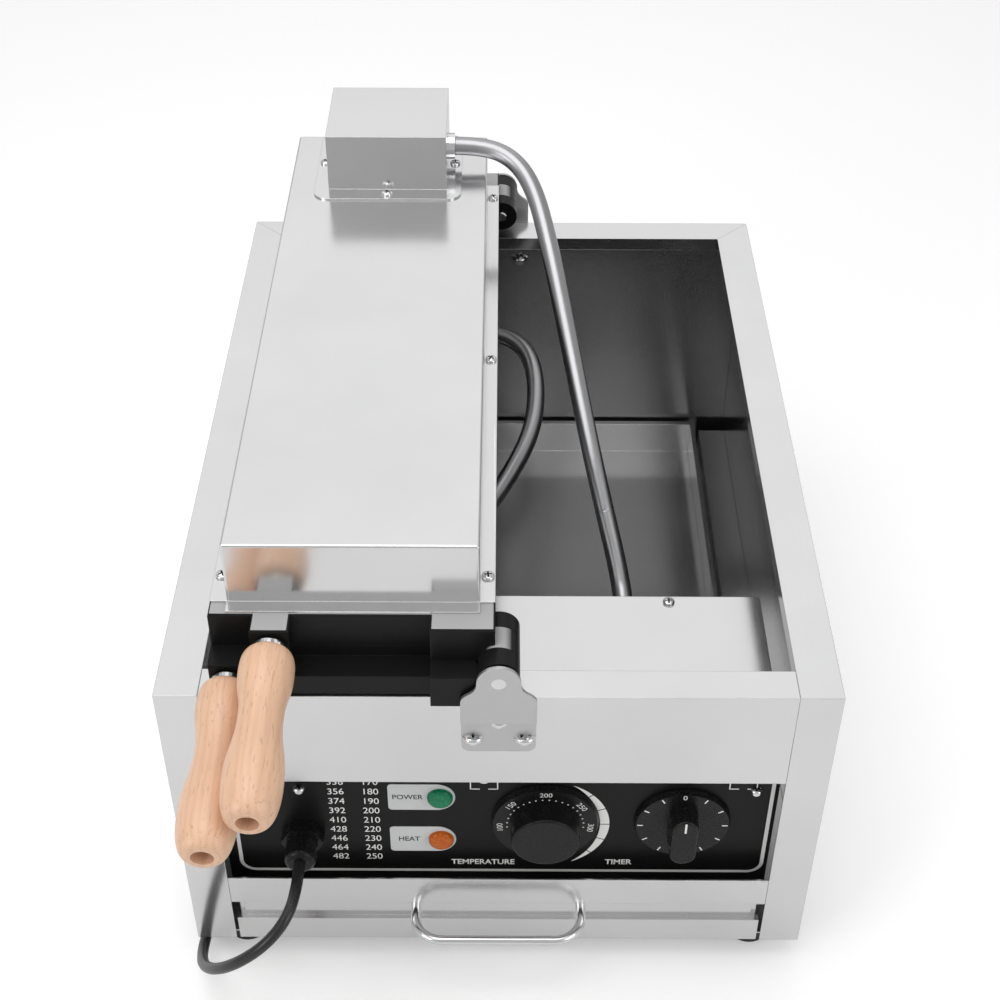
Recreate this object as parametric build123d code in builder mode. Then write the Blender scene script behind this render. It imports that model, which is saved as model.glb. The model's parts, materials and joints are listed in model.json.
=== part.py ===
# Coin waffle maker: two cast moulds that open like a book and turn over as a
# pair on a central axle, above an open steel cabinet with a crumb tray.
# Millimetres. X to the right, Y to the back, Z up.
# The machine is modelled from the floor under the middle of the cabinet, and
# written from the floor under the middle of its whole length, handles included.

import os
from math import cos, pi, radians, sin, sqrt, tan

from build123d import *

os.makedirs("parts", exist_ok=True)

# Cabinet
cabinet_width = 380
cabinet_depth = 500
cabinet_height = 223
foot_height = 18
foot_radius = 16
foot_in_x = 28
foot_in_y = 24
sheet = 1.2
side_rim = 24.5
foot_taper = 2
foot_edge = 2
rear_rim = 23
front_rim = 20.6
rim_lip = 10
base_flange = 48
base_setback = 5
fascia_height = 71.5
panel_recess = 12
panel_thickness = 1.5
rail_bottom = 55
rail_height = 23.5
seam = 0.2

# Electrical compartment in the front of the cabinet
compartment_top = 190
compartment_back = 134
compartment_in = 2
floor_over_rail = 1
wall_flange = 15

# Crumb tray
tray_half_width = 160
tray_floor = 20.5
tray_top = 50.5
tray_end_gap = 3
tray_flange = 3.4
front_bottom = 18.5
front_step = 38.5
front_top = 52
step_depth = 3
front_gap = 2.3
notch_width = 5
pull_rod_radius = 3
pull_half_width = 51.3
pull_reach = 24
pull_height = 46
pull_bend = 17
guide_height = 46
guide_gap = 3

# Moulds
casting_thickness = 22.5
rest_gap = 0.3
slab_in = 33
slab_right = 2
slab_edge = 1
slab_front_in = 16
coin_radius = 50
coin_depth = 9
coin_spacing = 112
coin_count = 4
coin_ring_radius = 36
coin_ring_width = 3
coin_ring_height = 1
coin_draft = 12
ledge_depth = 8
ear_width = 35
upper_ear_in = 5
lower_ear_out = 9
boss_width = 21
upper_boss_in = 3.5
upper_handle_in = 34.2
lower_handle_in = 10

# Axle through the interleaved knuckles, first from the outer end
knuckle_radius = 11.5
knuckle_gap = 0.3
knuckle_lengths = (12, 15.7, 11.7)
relief = 0.7
axle_radius = 4
axle_clearance = 0.08
axle_spare = 2
axle_edge = 0.8

# Pivot brackets
bracket_half_width = 20.8
bracket_thickness = 2
bracket_drop = 42
bracket_step = 13
bracket_bend = 5.5
bracket_shoulder = 14
bracket_corner = 5
bracket_top_radius = 12
bracket_flare = 8
bracket_neck = 10
bracket_screw_x = 14.5
bracket_screw_low = 9
bracket_screw_high = 23

# Covers and terminal boxes of the moulds
cover_height = 41.3
cover_in = 9.5
cover_right = 10.3
cover_front_in = 25.5
cover_back_in = 26.5
cover_edge = 1.5
cover_screw_end = 20
end_flange = 8
box_half_width = 41
box_height = 40
box_back_in = 32
box_length = 73
box_plate_side = 10
box_plate_front = 13
box_plate_back = 6
box_corner = 10
lead_hole = 9
pad_height = 26
pad_gap = 1.5
pad_lift = 1
conduit_rise = 14
terminal_half_length = 16
terminal_half_width = 9
terminal_height = 16
terminal_back_in = 12
terminal_hole = 2.2
terminal_spacing = (14, 9)
terminal_hole_depth = 6

# Heating element under each cover
heater_radius = 4
heater_half_width = 45
heater_end_in = 52
heater_bend = 5
heater_leg = 6
heater_seat = 0.2

# Handles
handle_tilt = 6
grip_start = 5
grip_length = 106
grip_shoulder = 15
grip_neck = 12
grip_belly = 15.8
grip_tip = 8
grip_mouth = 8.5
grip_round = 6
grip_shoulder_at = 14
grip_neck_at = 42
grip_belly_at = 82
bolt_radius = 4
bolt_in_boss = 14
nut_radius = 7.2
nut_gap = 1
end_bore_radius = 6
end_bore_depth = 14

# Controls
dial_x = 28
timer_x = 110
control_z = 121.5
dial_skirt = 32.5
dial_grip = 21
timer_skirt = 29
timer_grip_width = 17
timer_grip_length = 40
skirt_thickness = 3.5
knob_gap = 0.6
skirt_draft = 20
grip_height = 14
grip_draft = 3
knob_edge = 1.5
shaft_radius = 3
shaft_clearance = 0.3
shaft_behind = 9
lamp_x = -34.6
power_lamp_z = 142
heat_lamp_z = 103
lamp_radius = 7.7
lamp_rise = 4
lamp_body = 22
lens_edge = 3
thermostat_size = 40
timer_size = 46
switch_depth = 26
switch_corner = 4
gland_in = 47.5
gland_z = 108
gland_nut = 13
gland_nut_height = 8
gland_body = 9.5
gland_length = 16
gland_tip_radius = 4
gland_behind = 8
cord_radius = 3.5
block_x = -60
block_from_front = 80
block_half_length = 26
block_half_width = 10
block_height = 18
block_hole = 2.5
block_hole_spacing = 10
block_hole_depth = 6

# Screws with a low domed head
screw_head = 3.2
screw_rise = 1.8
screw_shank = 2
screw_draft = 28
nut_height = 3
panel_screws_x = (-117.6, 152)
panel_screw_z = 148
cover_screw_x = 106
cover_screw_in = 5.5

# Flexible steel conduits from the compartment to the moulds
conduit_radius = 6.5
fitting_radius = 9
fitting_length = 5
upper_outlet_x = 82
upper_outlet_z = 153
lower_outlet_x = -50
lower_outlet_z = 140

# Mains cord, its spare length in a coil, and its plug
coil_x = -80
coil_behind = 80
coil_radius = 40
coil_turns = 3
turn_gap = 0.8
plug_from_coil = 72
plug_aside = 24
plug_neck = 16
plug_neck_radius = 5
plug_body = 34
plug_width = 36
plug_height = 24
plug_corner = 8
plug_draft = 2
pin_radius = 2.4
pin_spacing = 19
pin_length = 19

front = -cabinet_depth / 2
back = cabinet_depth / 2
half_width = cabinet_width / 2
rim_top = foot_height + cabinet_height
rim_inside = half_width - side_rim
compartment_half_width = rim_inside - compartment_in
gland_x = gland_in - rim_inside
pivot_z = rim_top + rest_gap + sheet + casting_thickness
panel_front = front + panel_recess
panel_back = panel_front + panel_thickness
wall_y = front + compartment_back
slab_front = front + slab_front_in
slab_left = half_width - slab_in
slab_middle = -(slab_left + slab_right) / 2
cover_left = slab_left - cover_in
floor_top = rail_bottom + sheet + floor_over_rail
ear_front = {1: front + upper_ear_in, -1: front - lower_ear_out}
handle_x = {1: upper_handle_in - slab_left, -1: lower_handle_in - slab_left}
boss_front = {1: front + upper_boss_in, -1: front}
front_face = Plane.XZ.offset(-front)
back_face = Plane.XZ.offset(-back)
tilt = radians(handle_tilt)
handle_reach = (grip_start + grip_length) * cos(tilt) + grip_tip * sin(tilt)
written_shift = (handle_reach - bracket_step) / 2
print("written shift", round(written_shift, 3))


def keep(piece, name):
    """Label a finished piece and write it from the middle of the length."""
    placed = piece.part.moved(Location((0, written_shift, 0)))
    placed.label = name
    export_step(placed, f"parts/{name}.step")


def folded(*points, side=Side.LEFT):
    """Section of a folded sheet whose outer surface runs through the points."""
    with BuildSketch() as section:
        with BuildLine():
            Polyline(*points)
            offset(amount=sheet, side=side, kind=Kind.INTERSECTION)
        make_face()
    return section.sketch


def slab(x0, x1, y0, y1, z0, z1, mode=Mode.ADD):
    """Straight-sided block between two corners."""
    with Locations(((x0 + x1) / 2, (y0 + y1) / 2, (z0 + z1) / 2)):
        Box(abs(x1 - x0), abs(y1 - y0), abs(z1 - z0), mode=mode)


# Side panels: wall, top rim and base flange in one fold, with a front flange
base_inside = half_width - base_flange
for hand, name in ((-1, "left"), (1, "right")):
    with BuildPart() as side_panel:
        with BuildSketch(Plane.XZ.offset(-back)):
            add(
                folded(
                    (hand * base_inside, foot_height),
                    (hand * half_width, foot_height),
                    (hand * half_width, rim_top),
                    (hand * rim_inside, rim_top),
                    (hand * rim_inside, rim_top - rim_lip),
                    side=Side.LEFT if hand > 0 else Side.RIGHT,
                )
            )
        extrude(amount=cabinet_depth)
        slab(
            hand * (base_inside - 1),
            hand * (half_width - sheet),
            front,
            front + base_setback,
            foot_height,
            foot_height + sheet,
            mode=Mode.SUBTRACT,
        )
        slab(
            hand * rim_inside,
            hand * half_width,
            front,
            front + sheet,
            foot_height,
            rim_top,
        )
        with BuildSketch(Plane.XY.offset(rim_top - rim_lip)):
            with BuildLine():
                Polyline(
                    (hand * half_width, back),
                    (hand * rim_inside, back - rear_rim),
                    (hand * rim_inside, back),
                    close=True,
                )
            make_face()
        extrude(amount=rim_lip, mode=Mode.SUBTRACT)
    keep(side_panel, f"{name}_side_panel")

# Screw places of both pivot brackets
bracket_hole_z = rim_top - bracket_drop + bracket_screw_low
bracket_screws_at = (
    (-bracket_screw_x, bracket_hole_z),
    (bracket_screw_x, bracket_hole_z),
    (0, rim_top - bracket_drop + bracket_screw_high),
)

# Rear panel, its rim mitred to the side rims
wall_inside = half_width - sheet
with BuildPart() as rear_panel:
    with BuildSketch(Plane.YZ.offset(-wall_inside)):
        add(
            folded(
                (back - rim_lip, foot_height + sheet),
                (back, foot_height + sheet),
                (back, rim_top),
                (back - rear_rim, rim_top),
                (back - rear_rim, rim_top - rim_lip),
            )
        )
    extrude(amount=2 * wall_inside)
    for hand in (-1, 1):
        with BuildSketch(Plane.XY.offset(rim_top - rim_lip)):
            with BuildLine():
                Polyline(
                    (hand * half_width, back),
                    (hand * rim_inside, back - rear_rim),
                    (hand * half_width, back - rear_rim),
                    close=True,
                )
            make_face()
        extrude(amount=rim_lip, mode=Mode.SUBTRACT)
    with BuildSketch(back_face):
        with Locations(*bracket_screws_at):
            Circle(screw_shank)
    extrude(amount=2 * sheet, both=True, mode=Mode.SUBTRACT)
keep(rear_panel, "rear_panel")

# Front fascia: upper front face, top rim and a return over the controls
fascia_half = rim_inside - seam
with BuildPart() as fascia:
    with BuildSketch(Plane.YZ.offset(-fascia_half)):
        add(
            folded(
                (panel_front - seam, rim_top - fascia_height),
                (front, rim_top - fascia_height),
                (front, rim_top),
                (front + front_rim, rim_top),
                (front + front_rim, rim_top - rim_lip),
                side=Side.RIGHT,
            )
        )
    extrude(amount=2 * fascia_half)
    with BuildSketch(front_face):
        with Locations(*bracket_screws_at):
            Circle(screw_shank)
    extrude(amount=2 * sheet, both=True, mode=Mode.SUBTRACT)
keep(fascia, "front_fascia")

# Control panel, set back under the fascia
with BuildPart() as control_panel:
    slab(
        -fascia_half,
        fascia_half,
        panel_front,
        panel_back,
        floor_top - sheet,
        compartment_top - 2 * sheet,
    )
    with BuildSketch(Plane.XZ.offset(-panel_front)):
        with Locations((dial_x, control_z), (timer_x, control_z)):
            Circle(shaft_radius + shaft_clearance)
        with Locations((lamp_x, power_lamp_z), (lamp_x, heat_lamp_z)):
            Circle(lamp_radius)
        with Locations((gland_x, gland_z)):
            Circle(gland_body)
        with Locations(*[(x, panel_screw_z) for x in panel_screws_x]):
            Circle(screw_shank)
    extrude(amount=-panel_thickness, mode=Mode.SUBTRACT)
keep(control_panel, "control_panel")

# Lower front rail between the controls and the tray
with BuildPart() as front_rail:
    with BuildSketch(Plane.YZ.offset(-fascia_half)):
        add(
            folded(
                (panel_front - seam, rail_bottom),
                (front, rail_bottom),
                (front, rail_bottom + rail_height),
                side=Side.RIGHT,
            )
        )
    extrude(amount=2 * fascia_half)
keep(front_rail, "lower_front_rail")

# Electrical compartment: cover with folded sides, rear wall and floor
compartment_screws_at = [
    (hand * cover_screw_x, wall_y - cover_screw_in) for hand in (-1, 1)
]
with BuildPart() as compartment_cover:
    with BuildSketch(Plane.XZ.offset(-wall_y)):
        add(
            folded(
                (-compartment_half_width, floor_top),
                (-compartment_half_width, compartment_top),
                (compartment_half_width, compartment_top),
                (compartment_half_width, floor_top),
                side=Side.RIGHT,
            )
        )
    extrude(amount=wall_y - panel_back)
    with BuildSketch(Plane.XY.offset(compartment_top)):
        with Locations(*compartment_screws_at):
            Circle(screw_shank)
    extrude(amount=-sheet, mode=Mode.SUBTRACT)
keep(compartment_cover, "compartment_cover")

inner_half = compartment_half_width - sheet
with BuildPart() as rear_wall:
    with BuildSketch(Plane.YZ.offset(-inner_half)):
        add(
            folded(
                (wall_y - wall_flange, compartment_top - sheet),
                (wall_y, compartment_top - sheet),
                (wall_y, floor_top),
                (wall_y - wall_flange, floor_top),
                side=Side.RIGHT,
            )
        )
    extrude(amount=2 * inner_half)
    with BuildSketch(Plane.XZ.offset(-wall_y)):
        with Locations((upper_outlet_x, upper_outlet_z), (lower_outlet_x, lower_outlet_z)):
            Circle(conduit_radius)
    extrude(amount=sheet, mode=Mode.SUBTRACT)
    with BuildSketch(Plane.XY.offset(compartment_top)):
        with Locations(*compartment_screws_at):
            Circle(screw_shank)
    extrude(amount=-2 * sheet, mode=Mode.SUBTRACT)
keep(rear_wall, "compartment_rear_wall")

with BuildPart() as compartment_floor:
    slab(
        -compartment_half_width,
        compartment_half_width,
        panel_front,
        wall_y,
        floor_top - sheet,
        floor_top,
    )
    slab(
        -compartment_half_width,
        compartment_half_width,
        panel_front,
        panel_back,
        floor_top - sheet,
        floor_top,
        mode=Mode.SUBTRACT,
    )
keep(compartment_floor, "compartment_floor")

# Angle guides that keep the tray straight
guide_x = tray_half_width + sheet + tray_flange + guide_gap
guide_back = back - rim_lip - 1
for hand, name in ((-1, "left"), (1, "right")):
    with BuildPart() as guide:
        with BuildSketch(Plane.XZ.offset(-guide_back)):
            add(
                folded(
                    (hand * wall_inside, guide_height),
                    (hand * guide_x, guide_height),
                    (hand * guide_x, foot_height + sheet),
                    side=Side.LEFT if hand > 0 else Side.RIGHT,
                )
            )
        extrude(amount=guide_back - front - base_setback)
    keep(guide, f"{name}_tray_guide")

# Rubber feet under the base flanges
with BuildPart() as feet:
    with Locations((0, 0, foot_height / 2)):
        with GridLocations(
            cabinet_width - 2 * foot_in_x, cabinet_depth - 2 * foot_in_y, 2, 2
        ):
            Cone(foot_radius - foot_taper, foot_radius, foot_height)
    fillet(feet.edges().group_by(Axis.Z)[0], radius=foot_edge)
keep(feet, "rubber_feet")


def pivot_bracket(face, outward):
    """Stepped steel bracket on the face, its tongue carrying the axle."""
    bottom = rim_top - bracket_drop
    bend = rim_top - bracket_bend
    shoulder = bend + bracket_shoulder
    with BuildPart() as bracket:
        with BuildSketch(face):
            with Locations((0, (bottom + bend) / 2)):
                RectangleRounded(
                    2 * bracket_half_width, bend - bottom, bracket_corner
                )
            with Locations((0, bend - bracket_corner)):
                Rectangle(2 * bracket_half_width, 2 * bracket_corner)
            for x, z in bracket_screws_at:
                with Locations((x, z)):
                    Circle(screw_shank, mode=Mode.SUBTRACT)
        extrude(amount=outward * bracket_thickness)
        with BuildSketch(face):
            with Locations((0, bend - bracket_thickness / 2)):
                Rectangle(2 * bracket_half_width, bracket_thickness)
        extrude(amount=outward * bracket_step)
        with BuildSketch(face.offset(outward * bracket_step)):
            with BuildLine():
                Polyline(
                    (bracket_half_width, shoulder),
                    (bracket_half_width, bend - bracket_thickness),
                    (-bracket_half_width, bend - bracket_thickness),
                    (-bracket_half_width, shoulder),
                )
                for hand in (-1, 1):
                    Bezier(
                        (hand * bracket_half_width, shoulder),
                        (hand * bracket_half_width, shoulder + bracket_flare),
                        (hand * bracket_top_radius, pivot_z - bracket_neck),
                        (hand * bracket_top_radius, pivot_z),
                    )
                ThreePointArc(
                    (-bracket_top_radius, pivot_z),
                    (0, pivot_z + bracket_top_radius),
                    (bracket_top_radius, pivot_z),
                )
            make_face()
            with Locations((0, pivot_z)):
                Circle(axle_radius, mode=Mode.SUBTRACT)
        extrude(amount=-outward * bracket_thickness)
    return bracket


keep(pivot_bracket(front_face, 1), "front_pivot_bracket")
keep(pivot_bracket(back_face, -1), "rear_pivot_bracket")

# Axle pins, fixed in the bracket tongues
axle_length = (
    bracket_step
    - lower_ear_out
    + sum(knuckle_lengths)
    + 2 * knuckle_gap
    + axle_spare
)
for end, name in ((-1, "front"), (1, "rear")):
    with BuildPart() as pin:
        with BuildSketch(Plane.XZ.offset(-end * (back + bracket_step))):
            with Locations((0, pivot_z)):
                Circle(axle_radius)
        extrude(amount=end * axle_length)
        inner_rim = pin.edges().sort_by(Axis.Y)[0 if end > 0 else -1]
        chamfer(inner_rim, length=axle_edge)
    keep(pin, f"{name}_pivot_pin")


def domed_screw(plane, shank):
    """Low domed screw, its head on the plane and its shank behind it."""
    with BuildPart() as screw:
        with BuildSketch(plane):
            Circle(screw_head)
        extrude(amount=screw_rise, taper=screw_draft)
        with BuildSketch(plane):
            Circle(screw_shank)
        extrude(amount=-shank)
    return screw.part


# Screws of the two brackets, each with a nut inside the cabinet
with BuildPart() as bracket_screws:
    for face, outward in ((front_face, 1), (back_face, -1)):
        for x, z in bracket_screws_at:
            seat_y = face.origin.Y - outward * bracket_thickness
            seat = Plane((x, seat_y, z), x_dir=(1, 0, 0), z_dir=(0, -outward, 0))
            add(domed_screw(seat, bracket_thickness + sheet + nut_height))
            with BuildSketch(seat.offset(-(bracket_thickness + sheet))):
                RegularPolygon(screw_head, 6)
            extrude(amount=-nut_height)
keep(bracket_screws, "bracket_screws")

# Domed screws of the control panel and of the compartment cover
with BuildPart() as cabinet_screws:
    for x in panel_screws_x:
        seat = Plane((x, panel_front, panel_screw_z), x_dir=(1, 0, 0), z_dir=(0, -1, 0))
        add(domed_screw(seat, panel_thickness))
    for x, y in compartment_screws_at:
        seat = Plane((x, y, compartment_top))
        add(domed_screw(seat, 2 * sheet))
keep(cabinet_screws, "cabinet_screws")

# Signal lamps: coloured lens in front, body behind the panel
for name, z in (("power", power_lamp_z), ("heat", heat_lamp_z)):
    with BuildPart() as lamp:
        with BuildSketch(Plane.XZ.offset(-panel_front)):
            with Locations((lamp_x, z)):
                Circle(lamp_radius)
        extrude(amount=lamp_rise)
        lens_rim = lamp.edges().sort_by(Axis.Y)[0]
        fillet(lens_rim, radius=lens_edge)
        with BuildSketch(Plane.XZ.offset(-panel_front)):
            with Locations((lamp_x, z)):
                Circle(lamp_radius)
        extrude(amount=-lamp_body)
    keep(lamp, f"{name}_lamp")

# Thermostat and timer behind the panel, each open around its shaft
shaft_room = shaft_radius + shaft_clearance
for name, x, size in (
    ("thermostat", dial_x, thermostat_size),
    ("timer_switch", timer_x, timer_size),
):
    with BuildPart() as switch:
        with BuildSketch(Plane.XZ.offset(-panel_back)):
            with Locations((x, control_z)):
                RectangleRounded(size, size, switch_corner)
        extrude(amount=-switch_depth)
        with BuildSketch(Plane.XZ.offset(-panel_back)):
            with Locations((x, control_z)):
                Circle(shaft_room)
        extrude(amount=-shaft_behind, mode=Mode.SUBTRACT)
    keep(switch, name)

# Knobs and the shafts that they turn
skirt_face = Plane.XZ.offset(-(panel_front - knob_gap))
grip_face = skirt_face.offset(skirt_thickness)
with BuildPart() as dial:
    with BuildSketch(skirt_face):
        with Locations((dial_x, control_z)):
            Circle(dial_skirt)
    extrude(amount=skirt_thickness, taper=skirt_draft)
    with BuildSketch(grip_face):
        with Locations((dial_x, control_z)):
            Circle(dial_grip)
    extrude(amount=grip_height, taper=grip_draft)
    face_rim = dial.edges().filter_by(GeomType.CIRCLE).sort_by(Axis.Y)[0]
    fillet(face_rim, radius=knob_edge)
    with BuildSketch(skirt_face):
        with Locations((dial_x, control_z)):
            Circle(shaft_radius)
    extrude(amount=skirt_thickness + grip_height / 2, mode=Mode.SUBTRACT)
keep(dial, "temperature_knob")

with BuildPart() as timer_knob:
    with BuildSketch(skirt_face):
        with Locations((timer_x, control_z)):
            Circle(timer_skirt)
    extrude(amount=skirt_thickness, taper=skirt_draft)
    with BuildSketch(grip_face):
        with Locations((timer_x, control_z)):
            SlotOverall(timer_grip_length, timer_grip_width, rotation=90)
    extrude(amount=grip_height, taper=grip_draft)
    face_rim = timer_knob.faces().sort_by(Axis.Y)[0].edges()
    fillet(face_rim, radius=knob_edge)
    with BuildSketch(skirt_face):
        with Locations((timer_x, control_z)):
            Circle(shaft_radius)
    extrude(amount=skirt_thickness + grip_height / 2, mode=Mode.SUBTRACT)
keep(timer_knob, "timer_knob")

shaft_start = skirt_face.offset(skirt_thickness + grip_height / 2)
shaft_length = (
    skirt_thickness + grip_height / 2 + knob_gap + panel_thickness + shaft_behind - 1
)
for name, x in (("thermostat_shaft", dial_x), ("timer_shaft", timer_x)):
    with BuildPart() as shaft:
        with BuildSketch(shaft_start):
            with Locations((x, control_z)):
                Circle(shaft_radius)
        extrude(amount=-shaft_length)
    keep(shaft, name)

# Cable gland: hexagon against the panel, domed nose around the cord
gland_face = Plane.XZ.offset(-panel_front)
gland_nose = gland_nut_height + gland_length
with BuildPart() as gland:
    with BuildSketch(gland_face):
        with Locations((gland_x, gland_z)):
            RegularPolygon(gland_nut, 6)
    extrude(amount=gland_nut_height)
    with BuildSketch(gland_face):
        with Locations((gland_x, gland_z)):
            Circle(gland_body)
    extrude(amount=gland_nose)
    nose_rim = gland.edges().filter_by(GeomType.CIRCLE).sort_by(Axis.Y)[0]
    fillet(nose_rim, radius=gland_tip_radius)
    with BuildSketch(gland_face):
        with Locations((gland_x, gland_z)):
            Circle(gland_body)
    extrude(amount=-(panel_thickness + gland_behind))
keep(gland, "cable_gland")

# Terminal block on the compartment floor
with BuildPart() as terminal_block:
    block_y = front + block_from_front
    slab(
        block_x - block_half_length,
        block_x + block_half_length,
        block_y - block_half_width,
        block_y + block_half_width,
        floor_top,
        floor_top + block_height,
    )
    with BuildSketch(Plane.XY.offset(floor_top + block_height)):
        with Locations((block_x, block_y)):
            with GridLocations(block_hole_spacing, block_hole_spacing, 5, 2):
                Circle(block_hole)
    extrude(amount=-block_hole_depth, mode=Mode.SUBTRACT)
keep(terminal_block, "terminal_block")

# Crumb tray: open pan with a narrow top flange on three sides
pan_front = front + step_depth + sheet
pan_back = back - sheet - tray_end_gap - tray_flange - sheet
pan_outside = tray_half_width + sheet
with BuildPart() as tray:
    slab(-pan_outside, pan_outside, pan_front, pan_back + sheet, tray_floor, tray_top)
    slab(
        -pan_outside - tray_flange + sheet,
        pan_outside + tray_flange - sheet,
        pan_front,
        pan_back + sheet + tray_flange,
        tray_top - sheet,
        tray_top,
    )
    slab(
        -tray_half_width,
        tray_half_width,
        pan_front + sheet,
        pan_back,
        tray_floor + sheet,
        tray_top + 1,
        mode=Mode.SUBTRACT,
    )
keep(tray, "crumb_tray")

# Tray front: lower strip flush with the cabinet, upper strip stepped back
front_half = rim_inside - front_gap
with BuildPart() as tray_front:
    with BuildSketch(Plane.YZ.offset(-front_half)):
        add(
            folded(
                (front, front_bottom),
                (front, front_step),
                (front + step_depth, front_step),
                (front + step_depth, front_top),
                side=Side.RIGHT,
            )
        )
    extrude(amount=2 * front_half)
    for hand in (-1, 1):
        slab(
            hand * (front_half - notch_width),
            hand * front_half,
            front,
            front + step_depth + sheet,
            front_step,
            front_top,
            mode=Mode.SUBTRACT,
        )
keep(tray_front, "tray_front")

# Bent rod pull
with BuildPart() as pull:
    pull_y = front + step_depth
    with BuildLine(Plane.XY.offset(pull_height)) as pull_path:
        FilletPolyline(
            (-pull_half_width, pull_y),
            (-pull_half_width, pull_y - pull_reach),
            (pull_half_width, pull_y - pull_reach),
            (pull_half_width, pull_y),
            radius=pull_bend,
        )
    with BuildSketch(Plane((-pull_half_width, pull_y, pull_height), z_dir=(0, -1, 0))):
        Circle(pull_rod_radius)
    sweep(path=pull_path.line)
keep(pull, "tray_pull")

# Moulds: every height is taken from the parting plane, up for the upper mould
# and down for the lower one
knuckle_ends = []
start = front - lower_ear_out
for length in knuckle_lengths:
    knuckle_ends.append((start, start + length))
    start += length + knuckle_gap
bore_start = front - bracket_step
bore_end = bore_start + axle_length + 1
own_knuckles = {1: knuckle_ends[1:2], -1: knuckle_ends[0::2]}
cover_bottom = casting_thickness
cover_top = casting_thickness + cover_height
cover_front = front + cover_front_in
cover_back = back - cover_back_in


def level(side, height):
    """Plane at a height from the parting plane, facing away from it."""
    plane = Plane.XY.offset(pivot_z + side * height)
    return plane if side > 0 else -plane


def tier(side, x0, x1, y0, y1, h0, h1, mode=Mode.ADD):
    """Block between two heights from the parting plane."""
    slab(x0, x1, y0, y1, pivot_z + side * h0, pivot_z + side * h1, mode=mode)


def axle_cylinder(radius, y0, y1, mode):
    """Cylinder on the axle between two places along it."""
    with Locations((0, (y0 + y1) / 2, pivot_z)):
        Cylinder(radius, y1 - y0, rotation=(90, 0, 0), mode=mode)


def casting(side):
    """Cast mould half with its coins, hinge ears, knuckles and handle boss."""
    with BuildPart() as half:
        tier(side, -slab_left, -slab_right, slab_front, -slab_front, 0, casting_thickness)
        ear_right = -slab_right
        for end in (1, -1):
            tier(
                side,
                ear_right - ear_width,
                ear_right,
                end * ear_front[side],
                end * slab_front,
                0,
                casting_thickness,
            )
        boss_x = handle_x[side]
        boss_left = max(boss_x - boss_width / 2, -slab_left)
        tier(
            side,
            boss_left,
            boss_x + boss_width / 2,
            boss_front[side],
            slab_front,
            0,
            casting_thickness,
        )
        if side < 0:
            tier(
                side,
                -slab_left,
                ear_right - ear_width,
                front,
                slab_front,
                ledge_depth,
                casting_thickness,
            )
        outer = half.faces().sort_by(Axis.Z)[-1 if side > 0 else 0]
        chamfer(outer.edges(), length=slab_edge)
        for end in (1, -1):
            for y0, y1 in own_knuckles[side]:
                low, high = sorted((end * y0, end * y1))
                axle_cylinder(knuckle_radius, low, high, Mode.ADD)
        for end in (1, -1):
            for y0, y1 in own_knuckles[-side]:
                low, high = sorted((end * y0, end * y1))
                axle_cylinder(
                    knuckle_radius + relief,
                    low - knuckle_gap,
                    high + knuckle_gap,
                    Mode.SUBTRACT,
                )
            low, high = sorted((end * bore_start, end * bore_end))
            axle_cylinder(axle_radius + axle_clearance, low, high, Mode.SUBTRACT)
        with BuildSketch(level(side, 0)):
            with Locations((slab_middle, 0)):
                with GridLocations(1, coin_spacing, 1, coin_count):
                    Circle(coin_radius)
        extrude(amount=coin_depth, taper=coin_draft, mode=Mode.SUBTRACT)
        with BuildSketch(level(side, coin_depth)):
            with Locations((slab_middle, 0)):
                with GridLocations(1, coin_spacing, 1, coin_count):
                    Circle(coin_ring_radius)
                    Circle(coin_ring_radius - coin_ring_width, mode=Mode.SUBTRACT)
        extrude(amount=-coin_ring_height)
        with BuildSketch(handle_face(side).offset(nut_gap)):
            Circle(bolt_radius)
        extrude(amount=-bolt_in_boss - nut_gap, mode=Mode.SUBTRACT)
    return half


def handle_face(side):
    """Plane across the handle where its bolt leaves the boss."""
    direction = (0, -cos(tilt), -sin(tilt))
    seat = (handle_x[side], boss_front[side], pivot_z + side * casting_thickness / 2)
    return Plane(seat, x_dir=(1, 0, 0), z_dir=direction)


def handle_section(side):
    """Plane along the handle, its x axis down the handle and its y axis outward."""
    face = handle_face(side)
    return Plane(face.origin, x_dir=face.z_dir, z_dir=(1, 0, 0))


def cover(side):
    """Folded cover with flanges on four sides and a hole for the leads."""
    with BuildPart() as shell:
        tier(side, -cover_left, -cover_right, cover_front, cover_back, cover_bottom, cover_top)
        outer = shell.faces().sort_by(Axis.Z)[-1 if side > 0 else 0]
        fillet(outer.edges() + shell.edges().filter_by(Axis.Z), radius=cover_edge)
        tier(
            side,
            -cover_left + sheet,
            -cover_right - sheet,
            cover_front + sheet,
            cover_back - sheet,
            cover_bottom,
            cover_top - sheet,
            mode=Mode.SUBTRACT,
        )
        flange_top = cover_bottom + sheet
        for x0, x1 in ((-slab_left, -cover_left + sheet), (-cover_right - sheet, -slab_right)):
            tier(side, x0, x1, cover_front, cover_back, cover_bottom, flange_top)
        for y0, y1 in (
            (cover_front - end_flange, cover_front + sheet),
            (cover_back - sheet, cover_back + end_flange),
        ):
            tier(side, -cover_left, -cover_right, y0, y1, cover_bottom, flange_top)
        with BuildSketch(level(side, cover_top)):
            with Locations((box_x, side * box_y)):
                Circle(lead_hole)
            for x, y in box_screws_at:
                with Locations((x, side * y)):
                    Circle(screw_shank)
        extrude(amount=-sheet, mode=Mode.SUBTRACT)
        with BuildSketch(level(side, flange_top)):
            for x, y in cover_screws_at:
                with Locations((x, side * y)):
                    Circle(screw_shank)
        extrude(amount=-sheet, mode=Mode.SUBTRACT)
    return shell


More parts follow.
